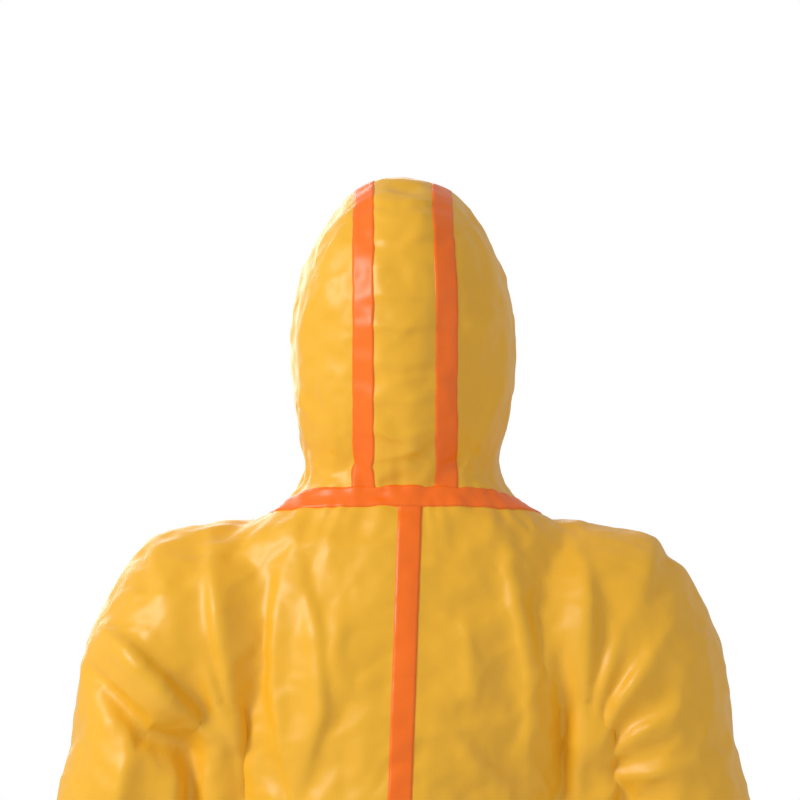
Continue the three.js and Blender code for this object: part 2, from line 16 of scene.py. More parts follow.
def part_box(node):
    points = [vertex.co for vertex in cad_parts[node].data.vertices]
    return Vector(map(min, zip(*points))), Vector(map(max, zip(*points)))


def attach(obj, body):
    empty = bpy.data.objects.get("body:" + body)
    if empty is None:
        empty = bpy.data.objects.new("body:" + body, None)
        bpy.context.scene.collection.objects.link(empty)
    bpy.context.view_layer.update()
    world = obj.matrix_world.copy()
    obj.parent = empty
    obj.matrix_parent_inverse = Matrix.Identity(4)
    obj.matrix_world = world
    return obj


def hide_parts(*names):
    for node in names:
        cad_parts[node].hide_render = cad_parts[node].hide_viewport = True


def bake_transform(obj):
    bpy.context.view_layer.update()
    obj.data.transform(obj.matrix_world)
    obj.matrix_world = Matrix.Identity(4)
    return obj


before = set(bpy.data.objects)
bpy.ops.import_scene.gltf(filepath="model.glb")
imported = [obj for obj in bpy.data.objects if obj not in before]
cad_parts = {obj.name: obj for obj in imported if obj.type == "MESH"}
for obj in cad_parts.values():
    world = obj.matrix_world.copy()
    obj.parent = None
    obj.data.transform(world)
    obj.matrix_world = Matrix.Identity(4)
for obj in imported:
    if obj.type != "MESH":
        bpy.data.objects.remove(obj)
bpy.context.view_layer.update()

# %% [markdown]
# ## Landmarks
# Every measure below hangs from a few landmarks of the part: the middle of its depth, the crown, the neck seam,
# the zip's ends and the hems. The heights along the body are then given as a tailor gives them, in metres.

# %% Landmarks
def corners(node):
    return [Vector(c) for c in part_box(node)]


def middle(node):
    lo, hi = corners(node)
    return (lo + hi) / 2


DEPTH_MID = middle("ankle_elastic_left").y
CROWN = corners("hood_centre_panel")[1].z
HEM = corners("ankle_elastic_left")[0].z
ZIP_LOW, ZIP_HIGH = (c.z for c in corners("zip_coil"))
NECK = 1.420 + HEM  # height of the neck seam beside the neck
NECK_LEAN = 0.2  # how much the neck seam rises towards the nape
WAIST = middle("waist_elastic").z
print("crown", round(CROWN, 3), "waist", round(WAIST, 3), "zip", round(ZIP_LOW, 3), "to", round(ZIP_HIGH, 3))

# %% [markdown]
# ## The volume of the suit
# A garment's outside can be drawn as a few lofts: rings of points placed along the trunk, the hood and each limb.
# A loft keeps every station easy to measure. The lofts overlap, and a voxel remesh melts them into one skin,
# which gives the soft, seamless yoke where sleeve meets shoulder.

# %% Rings and lofts
def smooth_keys(keys, places):
    """Values on a smooth curve through stations [place, value, ...], at each place."""
    keys = np.array(keys, float)
    p, v = keys[:, 0], keys[:, 1:]
    slope = np.gradient(v, p, axis=0)
    places = np.clip(places, p[0], p[-1])
    i = np.clip(np.searchsorted(p, places, side="right") - 1, 0, len(p) - 2)
    h = (p[i + 1] - p[i])[:, None]
    t = ((places - p[i]) / (p[i + 1] - p[i]))[:, None]
    return (
        (2 * t**3 - 3 * t**2 + 1) * v[i]
        + (t**3 - 2 * t**2 + t) * h * slope[i]
        + (3 * t**2 - 2 * t**3) * v[i + 1]
        + (t**3 - t**2) * h * slope[i + 1]
    )


def loft(name, rings):
    """A closed skin through rings of points, each end closed by a fan."""
    n = len(rings[0])
    points = [p for ring in rings for p in ring] + [rings[0].mean(0), rings[-1].mean(0)]
    faces = [
        (r * n + k, r * n + (k + 1) % n, (r + 1) * n + (k + 1) % n, (r + 1) * n + k)
        for r in range(len(rings) - 1)
        for k in range(n)
    ]
    last = (len(rings) - 1) * n
    faces += [((k + 1) % n, k, last + n) for k in range(n)]
    faces += [(last + k, last + (k + 1) % n, last + n + 1) for k in range(n)]
    mesh = bpy.data.meshes.new(name)
    mesh.from_pydata([tuple(p) for p in points], [], faces)
    obj = bpy.data.objects.new(name, mesh)
    bpy.context.collection.objects.link(obj)
    return obj


AROUND = np.linspace(0, 2 * math.pi, 72, endpoint=False)


def signed_power(x, p):
    return np.sign(x) * np.abs(x) ** p


# %% The trunk
ZIP_LEAN = 0.06  # the front runs forward this much for each metre down


def zip_front(z):
    return DEPTH_MID - (0.094 + ZIP_LEAN * (NECK - 0.019 - z))


TRUNK = [  # height, half width, depth of the back, share of the front's depth
    [0.716, 0.096, 0.044, 0.5],
    [0.728, 0.138, 0.080, 0.8],
    [0.742, 0.162, 0.104, 0.95],
    [0.756, 0.173, 0.118, 1],
    [0.806, 0.183, 0.136, 1],
    [0.880, 0.187, 0.142, 1],
    [0.940, 0.180, 0.136, 1],
    [1.000, 0.166, 0.122, 1],
    [1.060, 0.166, 0.130, 1],
    [1.130, 0.161, 0.129, 1],
    [1.194, 0.160, 0.127, 1],
    [1.270, 0.165, 0.123, 1],
    [1.330, 0.168, 0.116, 1],
    [1.372, 0.170, 0.104, 1],
    [1.396, 0.158, 0.093, 1],
    [1.411, 0.134, 0.084, 1],
    [1.422, 0.113, 0.077, 1],
    [1.440, 0.096, 0.078, 0.94],
]


def trunk_ring(z):
    half, back, share = smooth_keys(TRUNK, np.array([z]))[0]
    lean = 0.2 * min(1, max(0, (z - 1.33) / 0.09)) ** 2
    front = share * (DEPTH_MID - zip_front(z)) / (1 - ZIP_LEAN * lean)
    s, c = np.sin(AROUND), np.cos(AROUND)
    y = np.where(s < 0, front, back) * signed_power(s, 2 / 2.3)
    return np.stack([half * signed_power(c, 2 / 2.3), DEPTH_MID + y, z + lean * y], 1)


trunk = loft("volume", [trunk_ring(z) for z in np.arange(0.716, 1.441, 0.012)])

# %% The hood
HOOD = [  # height, half width, depth of the front, depth of the back
    [1.415, 0.110, 0.094, 0.077],
    [1.437, 0.098, 0.092, 0.079],
    [1.458, 0.089, 0.091, 0.084],
    [1.500, 0.096, 0.100, 0.100],
    [1.560, 0.1035, 0.112, 0.113],
    [1.620, 0.0985, 0.112, 0.117],
    [1.662, 0.085, 0.098, 0.106],
    [1.694, 0.066, 0.078, 0.088],
    [1.716, 0.043, 0.052, 0.060],
    [1.725, 0.024, 0.029, 0.034],
    [1.7285, 0.004, 0.006, 0.006],
]


def hood_ring(z):
    half, front, back = smooth_keys(HOOD, np.array([z]))[0]
    lean = 0.2 * (1 - min(1, max(0, (z - 1.42) / 0.1))) ** 2
    s, c = np.sin(AROUND), np.cos(AROUND)
    y = np.where(s < 0, front, back) * s
    return np.stack([half * c, DEPTH_MID + y, z + lean * y], 1)


hood_heights = np.concatenate([np.arange(1.415, 1.69, 0.012), np.linspace(1.69, 1.7285, 12)])
hood = loft("hood_volume", [hood_ring(z) for z in hood_heights])

# %% The limbs
SLEEVE = [  # place (minus the height), x, y, turn of the section, two half widths, forward turn
    [-1.3075, 0.100, 0, 104, 0.104, 0.086, 0],
    [-1.3060, 0.142, 0, 98, 0.107, 0.091, 0],
    [-1.3030, 0.1805, 0, 81, 0.104, 0.094, 0],
    [-1.2920, 0.204, 0, 70, 0.098, 0.096, 0],
    [-1.2670, 0.225, 0.001, 55, 0.087, 0.097, 0],
    [-1.1960, 0.2430, 0.003, 20, 0.067, 0.092, 0],
    [-1.1380, 0.2500, 0.005, 10, 0.0735, 0.084, 0],
    [-1.0500, 0.2600, 0.008, 8, 0.0675, 0.0705, 10],
    [-0.9400, 0.2730, -0.030, 7, 0.0605, 0.0635, 20],
    [-0.8600, 0.2840, -0.060, 7, 0.0505, 0.0525, 20],
    [-0.8060, 0.2900, -0.082, 7, 0.0385, 0.0405, 20],
    [-0.7780, 0.2933, -0.092, 7, 0.0375, 0.0395, 20],
    [-0.7640, 0.2950, -0.097, 7, 0.0375, 0.0395, 20],
]
LEG = [  # place (minus the height), x, half width, half depth
    [-0.840, 0.092, 0.070, 0.096],
    [-0.775, 0.097, 0.085, 0.112],
    [-0.640, 0.097, 0.085, 0.108],
    [-0.430, 0.104, 0.070, 0.078],
    [-0.200, 0.109, 0.061, 0.069],
    [-0.034, 0.111, 0.051, 0.059],
    [0.012, 0.111, 0.050, 0.058],
]


def sleeve_ring(place, side):
    x, y, turn, wide, deep, forward = smooth_keys(SLEEVE, np.array([place]))[0]
    turn, forward = math.radians(turn), math.radians(forward)
    out = np.array([math.cos(turn), 0, math.sin(turn)])
    back = np.array([0, math.cos(forward), -math.sin(forward)])
    ring = wide * np.outer(np.cos(AROUND), out) + deep * np.outer(np.sin(AROUND), back)
    return (ring + [x, y + DEPTH_MID, -place]) * [side, 1, 1]


def leg_ring(place, side):
    x, wide, deep = smooth_keys(LEG, np.array([place]))[0]
    ring = np.stack([x + wide * np.cos(AROUND), DEPTH_MID + deep * np.sin(AROUND), 0 * AROUND - place], 1)
    return ring * [side, 1, 1]


sleeve_places = np.concatenate([np.linspace(-1.3075, -1.267, 16), np.arange(-1.26, -0.764, 0.012), [-0.764]])
limbs = []
for side in (1, -1):
    limbs.append(loft("sleeve_volume", [sleeve_ring(p, side) for p in sleeve_places]))
    limbs.append(loft("leg_volume", [leg_ring(p, side) for p in np.arange(-0.84, 0.012, 0.012)]))
    # The sleeve is cut low: a web of cloth fills the armpit, thin at its lower end.
    web = np.stack([0.028 * signed_power(np.cos(AROUND), 0.7), signed_power(np.sin(AROUND), 0.8), 0 * AROUND], 1)
    rings = []
    for z in np.arange(1.104, 1.27, 0.012):
        deep = 0.026 + 0.056 * min(1, max(0, (z - 1.104) / 0.052)) ** 0.8
        rings.append((web * [1, deep, 1] + [0.1685, DEPTH_MID, z]) * [side, 1, 1])
    limbs.append(loft("web_volume", rings))
print(len(limbs), "limbs lofted")

# %% Melt the lofts into one skin
VOXEL = 0.0062


def active(obj):
    bpy.ops.object.select_all(action="DESELECT")
    obj.select_set(True)
    bpy.context.view_layer.objects.active = obj


def apply(obj, kind, **settings):
    """Puts one modifier on the object and makes its result permanent."""
    active(obj)
    modifier = obj.modifiers.new(kind.lower(), kind)
    for key, value in settings.items():
        setattr(modifier, key, value)
    bpy.ops.object.modifier_apply(modifier=modifier.name)
    return obj


for obj in [trunk, hood, *limbs]:
    bm = bmesh.new()
    bm.from_mesh(obj.data)
    bmesh.ops.recalc_face_normals(bm, faces=bm.faces)
    bm.to_mesh(obj.data)
    bm.free()
bpy.ops.object.select_all(action="DESELECT")
for obj in [trunk, hood, *limbs]:
    obj.select_set(True)
bpy.context.view_layer.objects.active = trunk
bpy.ops.object.join()
skin = trunk
skin.name = "suit_skin"
apply(skin, "REMESH", mode="VOXEL", voxel_size=VOXEL)
apply(skin, "SMOOTH", factor=0.5, iterations=8)
print("the skin has", len(skin.data.vertices), "points")

# %% [markdown]
# ## Openings
# Cutting the skin with planes gives clean edges, as scissors do. The face opening is an oval, so its edge points
# are moved onto the oval after the faces inside it are taken out.

# %% Cut the hems, the zip slot and the face opening
FACE_Z, FACE_WIDE, FACE_HIGH = 1.588 + HEM, 0.0765, 0.1005
CUFF_TOP = Vector((0.290, DEPTH_MID - 0.082, 0.804))
CUFF_RUN = Vector((-0.1145, 0.3395, 0.9327))  # up the sleeve, square to the cuff
ANKLE_TOP = HEM + 0.030
SLOT = 0.0052


def mirrored(v, side):
    return Vector((v[0] * side, v[1], v[2]))


def cut(bm, point, normal, keep=lambda f: True, drop=False):
    """Cuts the faces that keep() accepts along a plane; with drop, clears what lies on the normal's side."""
    faces = [f for f in bm.faces if keep(f)]
    geom = {e for f in faces for e in f.edges} | {v for f in faces for v in f.verts} | set(faces)
    return bmesh.ops.bisect_plane(
        bm, geom=list(geom), plane_co=point, plane_no=normal, dist=1e-5, clear_outer=drop
    )


def is_arm(p):
    return abs(p[0]) > 0.171 + max(0, 1.10 - p[2]) * 0.14 and p[2] < 1.1


bm = bmesh.new()
bm.from_mesh(skin.data)
cut(bm, (0, 0, ANKLE_TOP), (0, 0, -1), drop=True)
for side in (1, -1):
    low = lambda f: is_arm(f.calc_center_median()) and f.calc_center_median().x * side > 0
    cut(bm, mirrored(CUFF_TOP, side), -mirrored(CUFF_RUN, side), keep=low, drop=True)


def by_zip(f):
    c = f.calc_center_median()
    return c.y < DEPTH_MID - 0.05 and abs(c.x) < 0.03 and ZIP_LOW - 0.01 < c.z < ZIP_HIGH + 0.006


for x in (SLOT, -SLOT):
    cut(bm, (x, 0, 0), (1, 0, 0), keep=by_zip)
slot = [f for f in bm.faces if by_zip(f) and abs(f.calc_center_median().x) < SLOT - 1e-4]
bmesh.ops.delete(bm, geom=slot, context="FACES")


def in_face(p, grow=0.0):
    wide, high = FACE_WIDE + grow, FACE_HIGH + grow
    return p.y < DEPTH_MID - 0.02 and (p.x / wide) ** 2 + ((p.z - FACE_Z) / high) ** 2 < 1


hole = [f for f in bm.faces if in_face(f.calc_center_median())]
bmesh.ops.delete(bm, geom=hole, context="FACES")
for v in bm.verts:
    if v.is_boundary and in_face(v.co, 0.012):
        a = math.atan2((v.co.z - FACE_Z) / FACE_HIGH, v.co.x / FACE_WIDE)
        v.co.x, v.co.z = FACE_WIDE * math.cos(a), FACE_Z + FACE_HIGH * math.sin(a)
loose = [v for v in bm.verts if not v.link_faces]
bmesh.ops.delete(bm, geom=loose, context="VERTS")
bm.to_mesh(skin.data)
bm.free()
print("after cutting,", len(skin.data.polygons), "faces")

# %% [markdown]
# ## Folds laid one by one
# A coated suit folds in long, soft ridges that start where the cloth hangs from: the shoulders, the armpits and
# the neck seam. Each fold is drawn as a line on the back or the front, with a height and a soft width on each side.
# Unequal widths make one flank steep, as where cloth laps over itself.


# %% Fold tools
def read(obj):
    n = len(obj.data.vertices)
    co, no = np.empty(n * 3), np.empty(n * 3)
    obj.data.vertices.foreach_get("co", co)
    obj.data.vertex_normals.foreach_get("vector", no)
    return co.reshape(-1, 3), no.reshape(-1, 3)


def write(obj, co):
    obj.data.vertices.foreach_set("co", co.ravel())
    obj.data.update()


def step(x, low, high):
    t = np.clip((x - low) / (high - low), 0, 1)
    return t * t * (3 - 2 * t)


def line_field(points, flat):
    """For each flat point: its signed distance to a line through points, and how far along it is, from 0 to 1."""
    line = np.array(points, float)
    lengths = np.linalg.norm(np.diff(line, axis=0), axis=1)
    starts = np.concatenate([[0], np.cumsum(lengths)]) / lengths.sum()
    best = np.full(len(flat), 1e9)
    signed, share = np.zeros(len(flat)), np.zeros(len(flat))
    for k in range(len(line) - 1):
        run = line[k + 1] - line[k]
        t = np.clip((flat - line[k]) @ run / (run @ run), 0, 1)
        off = flat - line[k] - t[:, None] * run
        d = np.linalg.norm(off, axis=1)
        side = np.sign(run[0] * off[:, 1] - run[1] * off[:, 0])
        near = d < best
        best = np.where(near, d, best)
        signed = np.where(near, d * np.where(side == 0, 1, side), signed)
        share = np.where(near, starts[k] + t * (starts[k + 1] - starts[k]), share)
    return signed, share


def fold(co, no, points, height, left, right=None, facing=1, fade=(0.35, 0.45)):
    """Raises a ridge along points given as (x, z). left and right are its soft widths, seen along the line."""
    signed, share = line_field(points, co[:, [0, 2]])
    width = np.where(signed > 0, left, right or left)
    shape = np.exp(-1.1 * ((signed / width) ** 2 + 0.02) ** 0.7)
    ends = step(share, -1e-3, fade[0]) * (1 - step(share, 1 - fade[1], 1.001))
    toward = step(no[:, 1] * facing, 0.02, 0.4)
    return (height * shape * ends * toward)[:, None] * no


def wave(co, scale, seed):
    """A smooth, repeatable waviness from a few sines in turned directions, between about -1 and 1."""
    rng = np.random.default_rng(seed)
    total = np.zeros(len(co))
    for _ in range(7):
        way = rng.normal(size=3)
        way /= np.linalg.norm(way)
        total += np.sin(co @ way * 2 * math.pi / (scale * rng.uniform(0.7, 1.5)) + rng.uniform(0, 6.28))
    return total / 3.2


# %% Folds of the back, seen from behind
BACK_FOLDS = [  # points (x, z), height, width to each side
    # the lap of cloth beside each armhole
    ([(0.161, 1.414), (0.176, 1.399), (0.175, 1.372), (0.166, 1.315), (0.157, 1.268), (0.148, 1.205), (0.144, 1.13)], 0.0085, 0.007, 0.026),
    ([(-0.145, 1.408), (-0.166, 1.372), (-0.169, 1.342), (-0.165, 1.258), (-0.160, 1.182), (-0.158, 1.13)], 0.0085, 0.026, 0.007),
    # the left sleeve: a ridge from the shoulder point to the armpit, a deep valley below it, a cone at the armpit
    ([(0.290, 1.327), (0.246, 1.297), (0.200, 1.248), (0.150, 1.194)], 0.012, 0.020, 0.010),
    ([(0.292, 1.290), (0.262, 1.255), (0.232, 1.222), (0.206, 1.213), (0.170, 1.196)], -0.011, 0.013, 0.016),
    ([(0.146, 1.198), (0.166, 1.250), (0.182, 1.300)], 0.009, 0.012, 0.012),
    ([(0.206, 1.206), (0.208, 1.10)], 0.009, 0.016, 0.010),
    ([(0.246, 1.215), (0.262, 1.13)], 0.005, 0.014, 0.014),
    # the long oval pleat on the left of the back
    ([(0.102, 1.392), (0.114, 1.335), (0.116, 1.268), (0.106, 1.20), (0.099, 1.155)], 0.0055, 0.007, 0.017),
    ([(0.096, 1.380), (0.076, 1.315), (0.072, 1.245), (0.086, 1.19), (0.096, 1.160)], 0.0055, 0.017, 0.007),
    ([(0.058, 1.345), (0.056, 1.25)], 0.003, 0.014, 0.014),
    # the right of the back
    ([(-0.089, 1.400), (-0.100, 1.34), (-0.112, 1.28), (-0.113, 1.14)], 0.0055, 0.008, 0.020),
    ([(-0.052, 1.345), (-0.057, 1.315), (-0.062, 1.24)], 0.0035, 0.012, 0.018),
    ([(-0.128, 1.352), (-0.130, 1.28), (-0.132, 1.14)], 0.004, 0.016, 0.010),
    # the right sleeve: three ridges fan out of the armpit
    ([(-0.162, 1.180), (-0.178, 1.26), (-0.204, 1.338)], 0.0085, 0.014, 0.009),
    ([(-0.164, 1.182), (-0.198, 1.256), (-0.244, 1.322)], 0.010, 0.018, 0.009),
    ([(-0.166, 1.182), (-0.210, 1.222), (-0.262, 1.256)], 0.008, 0.016, 0.010),
    ([(-0.168, 1.178), (-0.215, 1.186), (-0.268, 1.196)], 0.006, 0.012, 0.012),
    ([(-0.196, 1.180), (-0.178, 1.150)], 0.006, 0.008, 0.008),
    # lower back and seat
    ([(0.040, 1.10), (0.055, 1.02), (0.090, 0.95)], 0.004, 0.014, 0.018),
    ([(-0.050, 1.08), (-0.062, 1.02), (-0.100, 0.94)], 0.004, 0.018, 0.014),
    ([(0.020, 0.79), (0.060, 0.75), (0.110, 0.73)], 0.007, 0.012, 0.016),
    ([(-0.020, 0.79), (-0.060, 0.75), (-0.110, 0.73)], 0.007, 0.016, 0.012),
    ([(0.030, 0.73), (0.075, 0.69), (0.130, 0.67)], 0.006, 0.012, 0.014),
    ([(-0.030, 0.735), (-0.075, 0.69), (-0.130, 0.665)], 0.006, 0.014, 0.012),
]
# behind the knees and down the shins
for side in (1, -1):
    for z, tilt in ((0.50, 0.02), (0.455, -0.015), (0.41, 0.018), (0.36, -0.02)):
        BACK_FOLDS.append(([(side * 0.045, z), (side * 0.105, z - 0.008), (side * 0.165, z + tilt * side)], 0.006, 0.009, 0.013))
FRONT_FOLDS = []
for side in (1, -1):
    FRONT_FOLDS += [
        ([(side * 0.160, 1.400), (side * 0.150, 1.30), (side * 0.148, 1.20)], 0.007, 0.012, 0.012),
        ([(side * 0.152, 1.195), (side * 0.190, 1.26), (side * 0.240, 1.315)], 0.009, 0.014, 0.014),
        ([(side * 0.154, 1.190), (side * 0.205, 1.225), (side * 0.262, 1.250)], 0.007, 0.013, 0.013),
        ([(side * 0.060, 1.36), (side * 0.085, 1.25), (side * 0.125, 1.15)], 0.005, 0.018, 0.018),
        ([(side * 0.090, 1.33), (side * 0.075, 1.18), (side * 0.080, 1.05)], 0.004, 0.016, 0.016),
        ([(side * 0.045, 0.96), (side * 0.080, 0.90), (side * 0.130, 0.87)], 0.005, 0.014, 0.014),
        ([(side * 0.025, 0.77), (side * 0.070, 0.80), (side * 0.130, 0.83)], 0.007, 0.013, 0.013),
        ([(side * 0.030, 0.74), (side * 0.080, 0.745), (side * 0.140, 0.77)], 0.006, 0.012, 0.012),
        ([(side * 0.040, 0.69), (side * 0.085, 0.60), (side * 0.110, 0.50)], 0.004, 0.018, 0.018),
        ([(side * 0.060, 0.47), (side * 0.105, 0.455), (side * 0.160, 0.475)], 0.005, 0.012, 0.012),
        ([(side * 0.220, 1.12), (side * 0.262, 1.10), (side * 0.305, 1.115)], 0.005, 0.010, 0.012),
        ([(side * 0.222, 1.06), (side * 0.265, 1.045), (side * 0.310, 1.065)], 0.006, 0.010, 0.012),
        ([(side * 0.230, 1.01), (side * 0.270, 1.00), (side * 0.312, 1.015)], 0.005, 0.010, 0.012),
    ]
co, no = read(skin)
shift = np.zeros_like(co)
for points, height, left, right in BACK_FOLDS:
    shift += fold(co, no, points, height, left, right)
clear = step(np.abs(co[:, 0]), 0.05, 0.105)[:, None]
for points, height, left, right in FRONT_FOLDS:
    shift += clear * fold(co, no, points, height, left, right, facing=-1)
print(len(BACK_FOLDS) + len(FRONT_FOLDS), "folds, highest", round(float(np.abs(shift).max()) * 1000, 1), "mm")
write(skin, co + shift)

# %% [markdown]
# ## Drape
# The cloth solver turns drawn folds into cloth. A smaller copy of the skin stands inside as the wearer.
# The cloth has a little more area than the skin, so it buckles; gravity then lays it on the shoulders.
# Seams, hems and the zip are held, because tape and elastic keep them from moving.

# %% Drape the cloth over an inner form
def drape(obj, frames=12):
    co, no = read(obj)
    form = obj.copy()
    form.data = obj.data.copy()
    form.name = "wearer_form"
    bpy.context.collection.objects.link(form)
    apply(form, "SMOOTH", factor=0.5, iterations=10)
    inner, inner_no = read(form)
    write(form, inner - 0.0125 * inner_no)
    form.modifiers.new("collision", "COLLISION")
    form.collision.thickness_outer = 0.002
    form.collision.cloth_friction = 12
    seam = np.minimum(np.abs(np.abs(co[:, 0]) - 0.036) + (co[:, 2] < NECK + 0.02), np.abs(co[:, 2] - NECK - NECK_LEAN * (co[:, 1] - DEPTH_MID)))
    back = np.abs(co[:, 0]) + 0.3 * (co[:, 2] > NECK + 0.02)
    hold = 0.35 * (1 - step(np.minimum(seam, back), 0.004, 0.022))
    zipped = (np.abs(co[:, 0]) < 0.04) & (co[:, 1] < DEPTH_MID - 0.05) & (co[:, 2] < ZIP_HIGH + 0.02) & (co[:, 2] > ZIP_LOW - 0.03)
    face = np.hypot(co[:, 0] / FACE_WIDE, (co[:, 2] - FACE_Z) / FACE_HIGH)
    rim = (co[:, 1] < DEPTH_MID) & (face < 1.12)
    hems = (co[:, 2] < ANKLE_TOP + 0.012) | ((np.array([p[2] for p in co]) < 0.84) & (np.abs(co[:, 0]) > 0.235))
    hold = np.maximum(hold, np.where(zipped | rim | hems, 1.0, 0.22))
    group = obj.vertex_groups.new(name="held")
    for level in np.unique(np.round(hold, 2)):
        group.add([int(i) for i in np.nonzero(np.round(hold, 2) == level)[0]], float(level), "REPLACE")
    cloth = obj.modifiers.new("cloth", "CLOTH")
    c = cloth.settings
    c.quality, c.mass, c.air_damping = 3, 0.2, 2
    c.effector_weights.gravity = 0.35
    c.tension_stiffness = c.compression_stiffness = 25
    c.shear_stiffness, c.bending_stiffness = 12, 14
    c.tension_damping = c.compression_damping = c.bending_damping = 6
    c.shrink_min = c.shrink_max = -0.012
    c.vertex_group_mass, c.pin_stiffness = "held", 0.6
    cloth.collision_settings.distance_min = 0.002
    cloth.collision_settings.collision_quality = 1
    cloth.collision_settings.use_self_collision = False
    scene = bpy.context.scene
    cloth.point_cache.frame_start, cloth.point_cache.frame_end = 1, frames
    for f in range(1, frames + 1):
        scene.frame_set(f)
    moved = obj.evaluated_get(bpy.context.evaluated_depsgraph_get())
    result = np.array([v.co for v in moved.data.vertices])
    obj.modifiers.clear()
    obj.vertex_groups.clear()
    bpy.data.objects.remove(form)
    scene.frame_set(1)
    step_size = np.linalg.norm(result - co, axis=1)
    result = co + (result - co) * np.minimum(1, 0.022 / np.maximum(step_size, 1e-9))[:, None]
    write(obj, result)
    print("draped: moved", round(float(step_size.mean()) * 1000, 1), "mm on average, most", round(float(step_size.max()) * 1000, 1))


drape(skin)

# %% [markdown]
# ## A finer skin, gathers and small waves
# One subdivision doubles the detail. Elastic gathers the cloth into small radial pleats round the face, wrists,
# ankles and waist, and the neck seam is a little too long for the neck, so short pleats hang from it.

# %% Finer cloth
apply(skin, "SUBSURF", levels=1, render_levels=1)
co, no = read(skin)
angle = np.arctan2((co[:, 2] - FACE_Z) / FACE_HIGH, co[:, 0] / FACE_WIDE)
far = np.hypot(co[:, 0] / FACE_WIDE, (co[:, 2] - FACE_Z) / FACE_HIGH) - 1
front = co[:, 1] < DEPTH_MID - 0.02
amount = np.where(front & (co[:, 2] > 1.45), np.exp(-np.maximum(far, 0) / 0.22), 0) * step(far, 0.0, 0.06)
lift = 0.0017 * amount * (np.sin(46 * angle + 3 * np.sin(5 * angle)) + 0.5 * np.sin(27 * angle + 1))

arm = (co[:, 2] < 1.1) & (np.abs(co[:, 0]) > 0.171 + np.maximum(0, 1.1 - co[:, 2]) * 0.14)
for side in (1, -1):
    top = np.array(mirrored(CUFF_TOP, side))
    run = np.array(mirrored(CUFF_RUN, side))
    up = (co - top) @ run
    spoke = co - top - up[:, None] * run
    turn = np.arctan2(spoke[:, 1], spoke[:, 0])
    at = arm & (co[:, 0] * side > 0)
    lift += np.where(at, np.exp(-np.maximum(up, 0) / 0.035), 0) * 0.0022 * np.sin(19 * turn + 2 * np.sin(3 * turn))
    at = (co[:, 0] * side > 0) & (co[:, 2] < 0.3) & ~arm
    turn = np.arctan2(co[:, 1] - DEPTH_MID, co[:, 0] - side * 0.111)
    lift += np.where(at, np.exp(-(co[:, 2] - ANKLE_TOP) / 0.045), 0) * 0.0026 * np.sin(23 * turn + 2 * np.sin(4 * turn))
turn = np.arctan2(co[:, 1] - DEPTH_MID, co[:, 0])
near_waist = np.exp(-(((co[:, 2] - WAIST) / 0.034) ** 2)) * ~arm * step(co[:, 1], -0.07, -0.02)
lift += near_waist * (0.0022 * np.sin(52 * turn + 4 * np.sin(3 * turn)) - 0.003)
below = NECK + NECK_LEAN * (co[:, 1] - DEPTH_MID) - co[:, 2]
pleats = np.where(below > 0, np.exp(-below / 0.03), 0) * step(below, 0.0, 0.008) * step(co[:, 1], -0.02, 0.03)
lift += pleats * 0.0011 * np.sin(31 * turn + 3 * np.sin(7 * turn)) * np.sin(5 * turn + 2 * np.sin(3 * turn))
above = -below
pleats = np.where(above > 0, np.exp(-above / 0.03), 0) * step(above, 0.0, 0.01)
lift += pleats * 0.0014 * np.sin(26 * turn + 3 * np.sin(5 * turn)) * np.sin(4 * turn + 1)

# %% Cloth stacked in rings above the hems, at the knees, elbows and crotch
def stacked(height, at, spread, pitch, seed, tilt=0.0, where=True):
    """Round crests with sharp valleys between them, broken up so that no ring runs all the way round."""
    level = co[:, 2] + tilt * np.abs(co[:, 0]) + 0.010 * wave(co, 0.13, seed)
    crest = np.abs(np.sin(math.pi * level / pitch)) - 0.5
    present = step(wave(co, 0.11, seed + 1), -0.35, 0.5)
    return np.where(where, height * np.exp(-(((co[:, 2] - at) / spread) ** 2)) * crest * present, 0)


leg = (co[:, 2] < 0.74) & ~arm
lift += stacked(0.0075, 0.09, 0.055, 0.036, 21, where=leg)
lift += stacked(0.0070, 0.435, 0.060, 0.040, 22, tilt=0.25, where=leg)
lift += stacked(0.0060, 0.26, 0.070, 0.060, 23, tilt=-0.5, where=leg)
lift += stacked(0.0080, 0.670, 0.055, 0.046, 24, tilt=0.8, where=leg)
lift += stacked(0.0065, 0.560, 0.060, 0.070, 25, tilt=-1.1, where=leg)
lift += stacked(0.0070, 1.035, 0.042, 0.032, 26, tilt=0.3, where=arm)
lift += stacked(0.0060, 0.930, 0.035, 0.040, 27, tilt=-0.5, where=arm)
lift += stacked(0.0065, 0.850, 0.026, 0.027, 28, where=arm)

